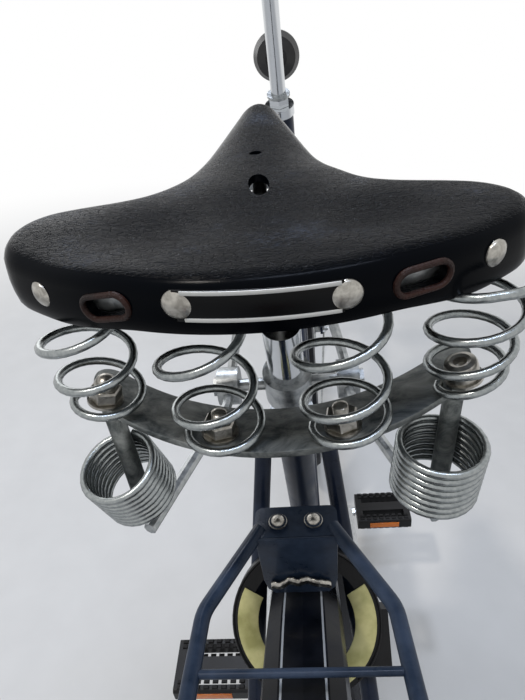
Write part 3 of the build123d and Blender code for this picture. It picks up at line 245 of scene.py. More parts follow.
navy_enamel, *_ = enamel("dark_navy_stove_enamel", "151D2C", "283143", 0.08)
rack_enamel, *_ = enamel("blue_grey_stove_enamel", "202B3B", "3A4659", 0.08)
black_enamel, *_ = enamel("black_stove_enamel", "08090C", "16181C", 0.06)
lined_enamel, tree, shader, tone = enamel("black_enamel_with_silver_lines", "04060B", "0D111A", 0.05)
line_place, line_half = 14 * mm, 0.7 * mm
split = add(tree, "ShaderNodeSeparateXYZ", {"Vector": upright(tree)})
aside = add(tree, "ShaderNodeMath", {0: split.outputs["X"]}, operation="ABSOLUTE")
line = add(tree, "ShaderNodeMath", {0: aside.outputs[0]}, {1: line_place, 2: line_half}, operation="COMPARE")
lined = add(tree, "ShaderNodeMix", {"Factor": line.outputs[0]}, data_type="RGBA")
tree.links.new(tone.outputs["Color"], lined.inputs[6])
lined.inputs[7].default_value = colour("9CA1A6")
tree.links.new(lined.outputs[2], shader.inputs["Base Color"])
print("enamels: rack, frame, stand and the mudguards with lines", round(line_place / mm), "mm from the middle")

# %% [markdown]
# ## Rubber and plastics
# Rubber is dull and slightly grey with dust. Moulded plastic has a fine even grain from its mould. The chain case
# and the lamp bodies are glossier, and the lenses are clear coloured plastic with small prisms behind them.

# %% Rubber and plastics
def moulded(name, dark, light, roughness, grain_mm, depth, **values):
    """A moulded material of two close tones, with a grain of that size."""
    material, tree, shader = finish(name, roughness=roughness, **values)
    patches = add(tree, "ShaderNodeTexNoise", {"Vector": upright(tree)}, {"Scale": 40.0, "Detail": 6.0})
    tone = add(tree, "ShaderNodeValToRGB", {"Fac": patches.outputs["Fac"]})
    tone.color_ramp.elements[0].position, tone.color_ramp.elements[0].color = 0.38, colour(dark)
    tone.color_ramp.elements[1].position, tone.color_ramp.elements[1].color = 0.68, colour(light)
    tree.links.new(tone.outputs["Color"], shader.inputs["Base Color"])
    grain = add(tree, "ShaderNodeTexNoise", {"Vector": upright(tree)}, {"Scale": 1 / (grain_mm * mm), "Detail": 3.0})
    bumps = add(tree, "ShaderNodeBump", {"Height": grain.outputs["Fac"]}, {"Strength": depth, "Distance": 0.0005})
    tree.links.new(bumps.outputs["Normal"], shader.inputs["Normal"])
    return material


# Close to the ground everything is lit from all round, so these blacks take little of the white about them
tyre_rubber = moulded("dusty_tyre_rubber", "101011", "242322", 0.78, 2.0, 0.3, specular_ior_level=0.25)
grip_rubber = moulded("soft_black_rubber", "0B0B0D", "161618", 0.68, 1.5, 0.2, specular_ior_level=0.25)
black_plastic = moulded("moulded_black_plastic", "08080A", "131315", 0.42, 1.2, 0.15, specular_ior_level=0.25)
case_plastic = moulded("gloss_black_case_plastic", "050506", "0B0C0E", 0.25, 4.0, 0.08, specular_ior_level=0.12)


def lens(name, code, prism_mm, **values):
    """Clear coloured plastic over rows of small prisms."""
    material, tree, shader = finish(name, base_color=colour(code), roughness=0.12, ior=1.49, **values)
    prisms = add(tree, "ShaderNodeTexVoronoi", {"Vector": upright(tree)},
                 {"Scale": 1 / (prism_mm * mm), "Randomness": 0.0}, distance="CHEBYCHEV")
    facets = add(tree, "ShaderNodeBump", {"Height": prisms.outputs["Distance"]},
                 {"Strength": 0.7, "Distance": 0.001})
    tree.links.new(facets.outputs["Normal"], shader.inputs["Normal"])
    return material


red_lens = lens("red_acrylic_lens", "B01216", 3.0, transmission_weight=0.2)
amber_lens = lens("amber_acrylic_reflector", "E87A12", 2.5, transmission_weight=0.1)
clear_lens = lens("clear_polycarbonate_lens", "E9ECEE", 5.0, transmission_weight=0.75)
print("moulded finishes:", [m.name for m in (tyre_rubber, grip_rubber, black_plastic, case_plastic, red_lens)])

# %% [markdown]
# ## Polished black hide
# The saddle is one thick piece of cowhide, dyed black and waxed until it shines. Years of rain and riding leave
# fine creases that run across it, hair-thin pale scratches and a dust of tiny light specks. The creases are cells
# whose borders sink, stretched across the saddle. The specks are the peaks of a much finer noise. The rear band
# stays smoother and glossier than the top, so the way the hide faces, up or back, mixes the two.

# %% The hide's finish
hide_black, tree, shader = finish("waxed_black_cowhide", specular_ior_level=0.03)
crease_mm, speck_mm = 1.5, 0.9
across = upright(tree, saddle_axes, (3.2, 1, 1))
wander = add(tree, "ShaderNodeTexNoise", {"Vector": across}, {"Scale": 60.0, "Detail": 4.0})
bend = add(tree, "ShaderNodeVectorMath", {0: wander.outputs["Color"]}, {1: (0.006, 0.006, 0.006)},
           operation="MULTIPLY")
swept = add(tree, "ShaderNodeVectorMath", {0: across, 1: bend.outputs[0]}, operation="ADD")
creases = add(tree, "ShaderNodeTexVoronoi", {"Vector": swept.outputs[0]}, {"Scale": 1 / (crease_mm * mm)},
              feature="DISTANCE_TO_EDGE")
sunk = add(tree, "ShaderNodeMapRange", {"Value": creases.outputs["Distance"]}, {"From Max": 0.12})
folds = add(tree, "ShaderNodeTexNoise", {"Vector": upright(tree, saddle_axes, (5, 1, 1))},
            {"Scale": 150.0, "Detail": 8.0, "Roughness": 0.7, "Distortion": 0.5})
height = add(tree, "ShaderNodeMath", {0: sunk.outputs[0], 1: folds.outputs["Fac"]}, {2: 0.0},
             operation="MULTIPLY_ADD")
tree.links.new(folds.outputs["Fac"], height.inputs[2])
facing = add(tree, "ShaderNodeSeparateXYZ", {"Vector": tree.nodes["Texture Coordinate"].outputs["Normal"]})
on_top = add(tree, "ShaderNodeMapRange", {"Value": facing.outputs["Z"]}, {"From Min": 0.8, "From Max": 0.97})
depth = add(tree, "ShaderNodeMath", {0: height.outputs[0], 1: on_top.outputs[0]}, operation="MULTIPLY")
dents = add(tree, "ShaderNodeBump", {"Height": depth.outputs[0]}, {"Strength": 0.85, "Distance": 0.0007})
pores = add(tree, "ShaderNodeTexNoise", {"Vector": upright(tree)}, {"Scale": 1300.0, "Detail": 3.0})
grain = add(tree, "ShaderNodeBump", {"Height": pores.outputs["Fac"], "Normal": dents.outputs["Normal"]},
            {"Strength": 0.12, "Distance": 0.0003})
tree.links.new(grain.outputs["Normal"], shader.inputs["Normal"])
specks = add(tree, "ShaderNodeTexNoise", {"Vector": upright(tree, saddle_axes, (2.5, 1, 1))},
             {"Scale": 1 / (speck_mm * mm), "Detail": 4.0, "Roughness": 0.75})
patches = add(tree, "ShaderNodeTexNoise", {"Vector": upright(tree, saddle_axes)}, {"Scale": 22.0, "Detail": 3.0})
both = add(tree, "ShaderNodeMath", {0: specks.outputs["Fac"], 1: patches.outputs["Fac"]}, operation="MULTIPLY")
pale = add(tree, "ShaderNodeMapRange", {"Value": both.outputs[0]}, {"From Min": 0.31, "From Max": 0.44})
scuffed = add(tree, "ShaderNodeMath", {0: pale.outputs[0], 1: on_top.outputs[0]}, operation="MULTIPLY")
tone = add(tree, "ShaderNodeValToRGB", {"Fac": scuffed.outputs[0]})
tone.color_ramp.elements[0].color = colour("04060A")
tone.color_ramp.elements[1].color = colour("343B47")
tree.links.new(tone.outputs["Color"], shader.inputs["Base Color"])
rough = add(tree, "ShaderNodeMapRange", {"Value": height.outputs[0]},
            {"From Min": 0.2, "From Max": 1.2, "To Min": 0.42, "To Max": 0.2})
band_rough = add(tree, "ShaderNodeMix", {"Factor": on_top.outputs[0]}, data_type="FLOAT")
band_rough.inputs[2].default_value = 0.17
tree.links.new(rough.outputs[0], band_rough.inputs[3])
tree.links.new(band_rough.outputs[0], shader.inputs["Roughness"])

# The cut edges of the slots have dried to a reddish brown where the wax has worn off
slot_leather = moulded("worn_leather_edge", "0C0504", "31170F", 0.45, 1.2, 0.9, specular_ior_level=0.2)
print("hide with creases", crease_mm, "mm apart and specks", speck_mm, "mm across")

# %% [markdown]
# ## Ways of making
# Most pieces here are a skin through rings: a circle is placed on the first ring, and its edge is extruded and
# fitted to each further ring, as one would pull a shape up step by step by hand. A filled circle gives a closed
# solid. Wire follows a path instead. Each finished piece is leaned with the bicycle and put on its body.

# %% Skins, wires and fitting
def clear():
    """Leaves edit mode and deselects everything, because an operator acts on all that is selected."""
    if bpy.context.mode != "OBJECT":
        bpy.ops.object.mode_set(mode="OBJECT")
    bpy.ops.object.select_all(action="DESELECT")


def take(piece):
    """Selects one piece alone and makes it the active one."""
    clear()
    piece.select_set(True)
    bpy.context.view_layer.objects.active = piece
    return piece


def skin(name, rings, filled=True, looped=False):
    """A skin through rings of points in millimetres, all with as many points."""
    clear()
    bpy.ops.mesh.primitive_circle_add(vertices=len(rings[0]), radius=1, fill_type="NGON" if filled else "NOTHING")
    piece = bpy.context.object
    piece.name = piece.data.name = name
    bpy.ops.object.mode_set(mode="EDIT")
    form = bmesh.from_edit_mesh(piece.data)
    order = form.verts.layers.int.new("order")
    form.verts.ensure_lookup_table()
    for index, vertex in enumerate(form.verts):
        vertex[order] = index
        vertex.co = rings[0][index]
    for ring in (*rings[1:], rings[0]) if looped else rings[1:]:
        bpy.ops.mesh.extrude_region_move()
        form = bmesh.from_edit_mesh(piece.data)
        order = form.verts.layers.int["order"]
        for vertex in form.verts:
            if vertex.select:
                vertex.co = ring[vertex[order]]
    bpy.ops.mesh.select_all(action="SELECT")
    bpy.ops.mesh.remove_doubles(threshold=0.002)
    bpy.ops.mesh.normals_make_consistent(inside=False)
    bpy.ops.object.mode_set(mode="OBJECT")
    return piece


def circle(radius, steps=24, height=0.0, flat=1.0):
    """Points of a circle about the Z axis."""
    return [Vector((radius * math.cos(turn), flat * radius * math.sin(turn), height))
            for turn in (2 * math.pi * step / steps for step in range(steps))]


def turned(name, profile, steps=24, axes=Matrix.Identity(4)):
    """A turned piece: rings of the radii and heights in a profile, along the Z axis of some axes."""
    return skin(name, [[axes @ point for point in circle(radius, steps, height)] for radius, height in profile])


def wire(name, points, radius, sides=10, looped=False, axes=Matrix.Identity(4)):
    """A round wire along points, whose section turns with the path."""
    points = [axes @ Vector(point) for point in points]
    count = len(points)
    rings, side = [], None
    for index, point in enumerate(points):
        before = points[index - 1] if index or looped else point
        after = points[(index + 1) % count] if looped or index + 1 < count else point
        ahead = (after - before).normalized()
        if side is None:
            side = ahead.orthogonal().normalized()
        side = (side - ahead * side.dot(ahead)).normalized()
        up = ahead.cross(side)
        rings.append([point + radius * (side * math.cos(turn) + up * math.sin(turn))
                      for turn in (2 * math.pi * step / sides for step in range(sides))])
    return skin(name, rings, filled=not looped, looped=looped)


def stamp(piece, axes):
    """Shapes and places a piece's own mesh."""
    piece.data.transform(axes)
    if axes.determinant() < 0:
        piece.data.flip_normals()
    return piece


def copies(piece, name, places):
    """A copy of a piece at each place, with its own mesh, after which the first is put away."""
    made = []
    for index, axes in enumerate(places):
        take(piece)
        bpy.ops.object.duplicate(linked=False)
        copy = bpy.context.object
        copy.name = copy.data.name = f"{name}_{index + 1}"
        made.append(stamp(copy, axes))
    bpy.data.objects.remove(piece)
    return made


def joined(pieces, name):
    """Several like pieces as one object."""
    take(pieces[0])
    for piece in pieces[1:]:
        piece.select_set(True)
    bpy.ops.object.join()
    whole = bpy.context.object
    whole.name = whole.data.name = name
    return whole


def softened(piece, width, segments=2, angle=30):
    """Rounds a piece's sharp edges by a width in millimetres."""
    take(piece)
    bpy.ops.object.modifier_add(type="BEVEL")
    edge = piece.modifiers[-1]
    edge.width, edge.segments, edge.angle_limit = width, segments, math.radians(angle)
    bpy.ops.object.modifier_apply(modifier=edge.name)
    return piece


def fitted(piece, material, body="frame", replaces=(), angle=35):
    """Leans a finished piece with the bicycle, gives it its finish and puts it on its body."""
    take(piece)
    stamp(piece, parked)
    bpy.ops.object.shade_smooth_by_angle(angle=math.radians(angle))
    piece.data.materials.clear()
    piece.data.materials.append(material)
    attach(piece, body)
    if replaces:
        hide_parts(*replaces)
    return piece


def rounded(points, radii, step=0.12):
    """Points along straight runs whose corners are arcs of the radii given, one for each inner point."""
    points = [Vector(point) for point in points]
    path = [points[0]]
    for before, corner, after, radius in zip(points, points[1:], points[2:], radii):
        back, on = (before - corner).normalized(), (after - corner).normalized()
        half = back.angle(on) / 2
        if math.pi / 2 - half < 0.01:
            continue
        centre = corner + (back + on).normalized() * radius / math.sin(half)
        start, end = corner + back * radius / math.tan(half), corner + on * radius / math.tan(half)
        arm, tip = start - centre, end - centre
        sweep = arm.angle(tip)
        steps = max(2, round(sweep / step))
        for index in range(steps + 1):
            share = index / steps
            path.append(centre + (arm * math.sin((1 - share) * sweep) + tip * math.sin(share * sweep)) / math.sin(sweep))
    path.append(points[-1])
    return path


def evenly(path, count):
    """Points at even distances along a path."""
    runs = [(b - a).length for a, b in zip(path, path[1:])]
    total, made, index, passed = sum(runs), [], 0, 0.0
    for number in range(count):
        target = total * number / (count - 1)
        while index < len(runs) - 1 and passed + runs[index] < target:
            passed += runs[index]
            index += 1
        share = (target - passed) / runs[index] if runs[index] else 0
        made.append(path[index].lerp(path[index + 1], min(1, share)))
    return made


print("ways of making: skin, turned, wire, copies, joined, softened and fitted")

# %% [markdown]
# ## The saddle's hide
# The hide is drawn wet over a form, so its outline is wide and shallow at the back, sweeps in to a waist and ends
# in a narrow nose. Seen from above, every ring of the mesh follows that outline, a little further in each time.
# That keeps the edge's roll even all round. The height of the top comes from a few soft hills and hollows: two
# dents where the rider sits, a dip between them and a nose that is arched across.

# %% The hide's outline and height
rear_half, rear_sweep, wing_reach = 104.0, 36.0, 62.0
corner_round, waist, waist_round, nose = 30.0, (64.0, 107.0), 46.0, (21.0, 246.0)
rear_radius = (rear_half**2 + rear_sweep**2) / (2 * rear_sweep)
wing_heading = 2 * math.atan(rear_sweep / rear_half)
roll, hide_thick = 9.0, 4.2
band_low, band_high = -12.0, 12.5
around = 96


def rear_edge(x):
    """How far ahead of its middle the rear edge lies at this distance to the side."""
    return rear_radius - math.sqrt(rear_radius**2 - x**2)


arc = [Vector((rear_half * step / 16, rear_edge(rear_half * step / 16), 0)) for step in range(17)]
wing = arc[-1] + Vector((math.cos(wing_heading), math.sin(wing_heading), 0)) * wing_reach
run = rounded([arc[-1], wing, (*waist, 0), (*nose, 0)], (corner_round, waist_round))
taper = math.atan2(waist[0] - nose[0], nose[1] - waist[1])
nose_round = nose[0] / math.cos(taper)
tip = [Vector((nose_round * math.cos(turn), nose[1] - nose_round * math.sin(taper) + nose_round * math.sin(turn), 0))
       for turn in (taper + (math.pi / 2 - taper) * step / 8 for step in range(1, 9))]
right = evenly(arc + run[1:] + tip, around + 1)
outline = right + [Vector((-p.x, p.y, 0)) for p in reversed(right[1:-1])]
inward = []
for index, point in enumerate(outline):
    run_on = outline[(index + 1) % len(outline)] - outline[index - 1]
    inward.append(Vector((-run_on.y, run_on.x, 0)).normalized())


def hill(x, y, at_x, at_y, wide, long):
    """A soft round hill one unit high."""
    return math.exp(-((x - at_x) / wide)**2 - ((y - at_y) / long)**2)


def ease(value, low, high):
    """Zero below, one above, and smooth between."""
    share = min(1, max(0, (value - low) / (high - low)))
    return share * share * (3 - 2 * share)


def top_height(x, y):
    """The height of the hide's top in the saddle's own axes."""
    crown = band_high - 3.5 * ease(y, 20, 110) + 12.0 * ease(y, 150, 275)
    half = max(20.0, 62 - (y - 107) * 0.3)
    arch = 12.3 * min(1, abs(x) / half)**2 * ease(y, 85, 195)
    droop = 3.0 * ease(abs(x), 50, 110) * (1 - ease(y, 30, 75))
    wings = 2.0 * (hill(x, y, 88, 86, 42, 40) + hill(x, y, -88, 86, 42, 40))
    dents = 4.0 * (hill(x, y, 50, 60, 26, 20) + hill(x, y, -50, 60, 26, 20)) + 4.5 * hill(x, y, 0, 80, 30, 24)
    twist = 0.02 * x * ease(y, 25, 90) * (1 - ease(y, 110, 150))
    return crown - arch - droop + wings - dents - twist


def foot_height(x, y):
    """The height of the skirt's lower edge."""
    return band_low - 5.0 * ease(abs(x), 50, 95) - 33 * ease(y, 72, 118) * (1 - 0.72 * ease(y, 175, 262))


def worn(place):
    """Where a point of the even shape lies after years of use: the nose a little left, the left wing wider."""
    return place - Vector((7.0 * ease(place.y, 60, 180) + 4.0 * ease(-place.x, 80, 125), 0, 0))


print("the hide is", round(2 * max(point.x for point in outline)), "mm wide and",
      round(max(point.y for point in outline)), "mm long")

# %% The hide, pulled ring by ring
spine = [Vector((0, 58 + 0.9 * max(0, point.y - 66), 0)) for point in outline]
edge_rings = [(roll * (1 - math.cos(turn)), roll * (1 - math.sin(turn)))
              for turn in (math.radians(angle) for angle in (90, 72, 54, 36, 18, 0))]


def ring_at(inset, lift):
    """A ring set in from the outline, at a height given point by point."""
    ring = []
    for point, way in zip(outline, inward):
        place = point + way * inset
        place.z = lift(place)
        ring.append(worn(place))
    return ring


outer_lip = [point + way * roll for point, way in zip(outline, inward)]
rings = []
for share in (0.0, 0.08, 0.17, 0.27, 0.37, 0.47, 0.57, 0.67, 0.76, 0.84, 0.91, 0.96):
    ring = [middle.lerp(lip, share) for middle, lip in zip(spine, outer_lip)]
    rings.append([worn(Vector((place.x, place.y, top_height(place.x, place.y)))) for place in ring])
rings.append(ring_at(roll, lambda place: top_height(place.x, place.y)))
for inset, drop in edge_rings[1:]:
    rings.append(ring_at(inset, lambda place: top_height(place.x, place.y) - drop))
for share in (0.3, 0.6, 0.88):
    rings.append(ring_at(-0.8 * math.sin(share * math.pi), lambda place: (1 - share) * (
        top_height(place.x, place.y) - roll) + share * foot_height(place.x, place.y)))
rings.append(ring_at(0.6, lambda place: foot_height(place.x, place.y)))
rings.append(ring_at(hide_thick - 0.6, lambda place: foot_height(place.x, place.y)))
rings.append(ring_at(hide_thick, lambda place: foot_height(place.x, place.y) + 1.5))
rings.append(ring_at(hide_thick, lambda place: top_height(place.x, place.y) - roll))
rings.append(ring_at(roll, lambda place: top_height(place.x, place.y) - hide_thick))
for share in (0.8, 0.55, 0.3, 0.0):
    ring = [middle.lerp(lip, share) for middle, lip in zip(spine, outer_lip)]
    rings.append([worn(Vector((place.x, place.y, top_height(place.x, place.y) - hide_thick))) for place in ring])
hide = skin("saddle_hide", rings, filled=False)
print("hide skin:", len(hide.data.vertices), "points")

# %% [markdown]
# ## Slots and the keyhole
# Two slots in the rear band take the straps of a tool bag, and a keyhole in the waist is left from the form. Each
# is cut by taking away a solid of its shape, because the hide already has both its faces and the cut then gets
# real walls. The slot's rim is a raised welt of leather, a wire bent to the same shape.

# %% Cutting the slots
slot_long, slot_high, slot_side = 22.4, 8.6, 63.9
slot_ups, slot_turns = {1: -0.2, -1: -1.7}, {1: 0.0, -1: math.radians(13)}


def band_axes(x, up, out=0.0):
    """Axes on the rear band's face: X along it, Y up and Z straight out of it."""
    outward = Vector((x, rear_edge(x) - rear_radius, 0)).normalized()
    along = Vector((0, 0, 1)).cross(outward)
    axes = Matrix((along, Vector((0, 0, 1)), outward)).transposed().to_4x4()
    return Matrix.Translation(Vector((x, rear_edge(x), up)) + outward * out) @ axes


def stadium(length, height, steps=10):
    """Points of a bar with round ends, about its middle."""
    half, radius = (length - height) / 2, height / 2
    ends = [(half, -math.pi / 2), (-half, math.pi / 2)]
    return [Vector((x + radius * math.cos(start + math.pi * step / steps),
                    radius * math.sin(start + math.pi * step / steps), 0))
            for x, start in ends for step in range(steps + 1)]


def cut(piece, cutter):
    """Takes one solid away from another."""
    take(piece)
    bpy.ops.object.modifier_add(type="BOOLEAN")
    taking = piece.modifiers[-1]
    taking.operation, taking.object, taking.solver = "DIFFERENCE", cutter, "EXACT"
    bpy.ops.object.modifier_apply(modifier=taking.name)
    bpy.data.objects.remove(cutter)


shape = stadium(slot_long, slot_high)
for side in (1, -1):
    axes = band_axes(side * slot_side, slot_ups[side]) @ Matrix.Rotation(slot_turns[side], 4, "Z")
    cut(hide, skin("slot_cutter", [[axes @ (point + Vector((0, 0, z))) for point in shape] for z in (-14, 8)]))
for name, ahead, wide, long in (("keyhole", 114, 5.8, 14.0), ("form_mark", 167, 4.0, 3.2)):
    hole = [worn(Vector((wide * p.x, ahead + long * p.y, 0))) for p in circle(1.0, 20)]
    cut(hide, skin(f"{name}_cutter", [[p + Vector((0, 0, z)) for p in hole] for z in (-20, 50)]))
fitted(stamp(hide, saddle_axes), hide_black, replaces=("saddle_leather",), angle=50)
print("cut hide:", len(hide.data.polygons), "faces")

# %% Leather welts round the slots
welts = []
for side in (1, -1):
    rim = stadium(slot_long + 2.2, slot_high + 2.4)
    place = band_axes(side * slot_side, slot_ups[side], 0.3) @ Matrix.Rotation(slot_turns[side], 4, "Z")
    welts.append(wire(f"slot_welt_{'right' if side > 0 else 'left'}", rim, 1.4, sides=10, looped=True,
                      axes=saddle_axes @ place))
for welt in welts:
    fitted(welt, slot_leather)
for side, word in ((1, "right"), (-1, "left")):
    sections = []
    for step in range(9):
        axes = band_axes(side * (slot_side - 16 + 4 * step), slot_ups[side], -6.5)
        sections.append([saddle_axes @ axes @ Vector((0, up, deep)) for up, deep in ((-8, 0), (8, 0), (8, 1), (-8, 1))])
    fitted(skin(f"slot_backing_{word}", sections), zinc_plate)
print("welts:", [welt.name for welt in welts])

# %% [markdown]
# ## Rivets and the bare plate
# Copper-cored rivets with nickel caps hold the hide to the steel plate inside. Two of them also hold a thin
# enamelled plate, which is left bare here, with only its raised silver edges. A cap is turned: a low dome with a
# thin rim. The plate is a strip that follows the band's curve, so it is made of short steps along the band.

# %% Rivets
cap = [(0.02, 3.0), (2.4, 2.85), (4.6, 2.3), (6.4, 1.5), (7.6, 0.7), (8.0, 0.2), (8.0, -1.2), (0.02, -1.2)]
plate_rivet_x = 33.6
for name, x, up, size in (("left", -31.6, 2.8, 0.79), ("right", plate_rivet_x, 1.1, 0.79),
                          ("far_left", -99.0, -3.6, 0.78), ("far_right", 96.5, -1.2, 0.74)):
    profile = [(radius * size, height * size) for radius, height in cap]
    dome = turned(f"rivet_{name}", profile, 32, saddle_axes @ band_axes(x, up, 0.8))
    fitted(dome, nickel, angle=60)
print("plate rivets", plate_rivet_x, "mm from the band's middle")

# %% The bare plate and its silver edges
def band_strip(name, x_from, x_to, low, high, out, thick, steps=24):
    """A strip on the band's face between two heights, following its curve."""
    rings = []
    for step in range(steps + 1):
        x = x_from + (x_to - x_from) * step / steps
        axes = band_axes(x, 1.8 - 0.022 * x, out)
        corners = ((low, 0), (high, 0), (high, thick), (low, thick))
        rings.append([saddle_axes @ (axes @ Vector((0, up, deep))) for up, deep in corners])
    return skin(name, rings)


badge_half, badge_high = 32.4, 7.1
plate = softened(band_strip("badge_plate", -badge_half, badge_half, -badge_high, badge_high, 0.4, 0.9), 0.3)
fitted(plate, case_plastic)
for name, low, high in (("top", badge_high - 2.0, badge_high - 0.2), ("foot", 0.2 - badge_high, 1.9 - badge_high)):
    edge = softened(band_strip(f"badge_line_{name}", -badge_half + 3.2, badge_half - 1.2, low, high, 1.1, 0.6), 0.15)
    fitted(edge, silver_with_painted_reflection)
print("bare plate", 2 * badge_half, "mm long between the rivets")

# %% [markdown]
# ## Springs
# Four conical springs of round wire carry the rear of the saddle, wider at the top than at the foot. The wire is
# one long skin whose rings travel up a helix. The last part of a turn lies flat at each end, as on a real spring
# that is closed and squared, so that it sits on its plate.

# %% Conical springs
def helix(foot_radius, top_radius, low, high, turns, start, growth=1.0, opening=1.0, per_turn=28):
    """Points of a right-handed helix. Growth shapes how its radius changes, opening how its turns spread."""
    points = []
    for step in range(round(turns * per_turn) + 1):
        passed = step / per_turn
        climb = min(1.0, passed / (turns - 0.15))**opening
        radius = foot_radius + (top_radius - foot_radius) * (passed / turns)**growth
        turn = start + 2 * math.pi * passed
        points.append(Vector((radius * math.cos(turn), radius * math.sin(turn), low + (high - low) * climb)))
    return points


bridge_half, bridge_rise, bridge_up = 112.0, 20.0, -84.0
bridge_radius = (bridge_half**2 + bridge_rise**2) / (2 * bridge_rise)


def bridge_top(x):
    """The height of the bridge plate's upper face."""
    return bridge_up + bridge_radius - math.sqrt(bridge_radius**2 - x**2)


def bridge_lean(x):
    """How steeply the bridge rises to the side here."""
    return x / math.sqrt(bridge_radius**2 - x**2)


spring_wire, spring_top, plate_under = 4.4, 21.6, -11.0
# For each spring: its place on the bridge, how far its foot and its top stand off it, its foot's radius, its
# turns and how they open
springs = {"inner_right": (31.2, 23.5, 3.4, 0.0, 17.5, 2.9, 1.6), "inner_left": (-31.2, 23.5, 4.0, -1.0, 17.5, 2.9, 1.55),
           "outer_right": (89.5, 37.0, 4.0, 7.0, 12.5, 3.4, 1.35),
           "outer_left": (-89.5, 39.0, 0.5, -2.0, 15.0, 2.9, 1.35)}
for name, (x, ahead, foot_off, top_off, foot, turns, opening) in springs.items():
    low = bridge_top(x) + spring_wire / 2 + 0.3
    high = plate_under + ahead * math.tan(saddle_pitch) - spring_wire / 2 - 0.3
    points = helix(foot, spring_top, low, high, turns, math.pi, 0.35, opening)
    for point in points:
        share = (point.z - low) / (high - low)
        point.x += foot_off * (1 - share)**2 + top_off * share
        point.z += bridge_lean(x) * point.x * (1 - share)**2
        point.z = min(point.z, high)
    spring = wire(f"spring_{name}", points, spring_wire / 2, 12,
                  axes=saddle_level @ Matrix.Translation((x, ahead, 0)))
    fitted(spring, spring_zinc, angle=60, replaces=("saddle_springs",) if name == "inner_right" else ())
print("springs wound from", spring_wire, "mm wire")

# %% The bridge under the springs
bridge_thick, bridge_end, bridge_round = 4.0, 102.0, 16.0
sections = []
for step in range(-26, 27):
    x = bridge_end * math.sin(step / 26 * math.pi / 2)
    past = max(0.0, abs(x) - (bridge_end - bridge_round)) / bridge_round
    half = max(0.6, bridge_round * math.sqrt(max(0.0, 1 - past**2)))
    middle = rear_edge(x) + 8.0 + bridge_round
    sections.append([saddle_level @ Vector((x, middle + across, bridge_top(x) - down))
                     for across, down in ((-half, 0), (half, 0), (half, bridge_thick), (-half, bridge_thick))])
bridge = softened(skin("bridge_plate_bent", sections), 0.5)
fitted(bridge, weathered_zinc, replaces=("bridge_plate",))
print("bridge", 2 * bridge_end, "mm from end to end")

# %% [markdown]
# ## Nuts, studs and washers
# A threaded stud comes up through the foot of three springs, with a washer and a hexagon nut, and the fourth
# has a washer under a domed bolt head. A nut is a six-sided prism whose corners are turned down at both faces. The
# thread is a turned profile that goes in and out, because at this size nobody sees that its rings don't climb. The
# bridge rises to its ends, so each stack leans with it.

# %% Nuts and studs at the springs' feet
def hexagon(name, across_corners, thick, axes):
    """A nut's body with turned-down corners."""
    rings = [[axes @ p for p in circle(across_corners * share, 6, height)]
             for share, height in ((0.02, 0), (0.44, 0), (0.5, 0.12 * thick), (0.5, 0.88 * thick), (0.44, thick),
                                   (0.02, thick))]
    return skin(name, rings)


def thread(name, radius, length, pitch, axes, steps=20):
    """A stud whose profile goes in and out like a thread."""
    profile = [(0.02, 0.0)]
    for number in range(int(length / pitch)):
        profile += [(radius * 0.86, number * pitch), (radius, (number + 0.5) * pitch)]
    profile += [(radius * 0.8, length), (radius * 0.3, length + 0.3), (0.02, length + 0.3)]
    return turned(name, profile, steps, axes)


def flat_ring(name, outer, inner, thick, axes):
    """A washer."""
    rings = [[axes @ p for p in circle(radius, 28, height)]
             for radius, height in ((inner, 0), (outer, 0), (outer, thick), (inner, thick))]
    return skin(name, rings, filled=False, looped=True)


stacks = []
for name, (x, ahead) in {"inner_right": (32.0, 21.5), "inner_left": (-29.6, 22.0), "outer_right": (93.5, 38.0),
                         "outer_left": (-91.5, 40.0)}.items():
    base = saddle_level @ Matrix.Translation((x, ahead, bridge_top(x) + 0.2))
    base = base @ Matrix.Rotation(-math.atan(bridge_lean(x)), 4, "Y")
    up = Matrix.Translation((0, 0, 1.6))
    washer = flat_ring(f"washer_{name}", 9.4, 4.2, 1.6, base)
    if name == "outer_right":
        head = turned(f"head_{name}", [(0.02, 6.0), (3.0, 6.0), (3.4, 9.4), (5.2, 10.0), (7.6, 9.2), (8.2, 7.4),
                                       (8.2, 0.0), (0.02, 0.0)], 28, base @ up)
        stacks.append(joined([washer, head], f"bolt_{name}"))
        continue
    body = hexagon(f"nut_{name}", 17.0, 7.6, base @ up @ Matrix.Rotation(0.35, 4, "Z"))
    stud = thread(f"stud_{name}", 3.9, 12.5, 1.25, base @ up)
    parts = [washer, body, stud]
    if name == "outer_left":
        parts.append(turned(f"cap_{name}", [(0.02, 15.0), (2.6, 14.4), (4.8, 12.6), (6.0, 9.8), (6.2, 6.0),
                                            (0.02, 6.0)], 24, base @ up))
    stacks.append(joined(parts, f"nut_stack_{name}"))
for number, stack in enumerate(stacks):
    fitted(stack, nickel, replaces=("spring_bolts",) if number == 0 else ())

# The hanging coils are held by rods from under the ends of the bridge
for side, word in ((1, "right"), (-1, "left")):
    run = [(side * 91, 42, bridge_top(91) - 4.4), (side * 86, 33, -112), (side * 82, 25, -136)]
    rod = wire(f"coil_rod_{word}", rounded(run, (60,)), 5.2, 20, axes=saddle_level)
    fitted(rod, weathered_zinc, replaces=("hanger_rods",) if side > 0 else ())
print("stacks:", [stack.name for stack in stacks])

# %% [markdown]
# ## Hanging coils
# Under each end of the bridge hangs a close-wound coil, the same wire turn on turn. It is the same helix with a
# pitch only a hair wider than the wire.

# %% Hanging coils
coil_wire, coil_turns, coil_ahead = 4.2, 8, 21.0
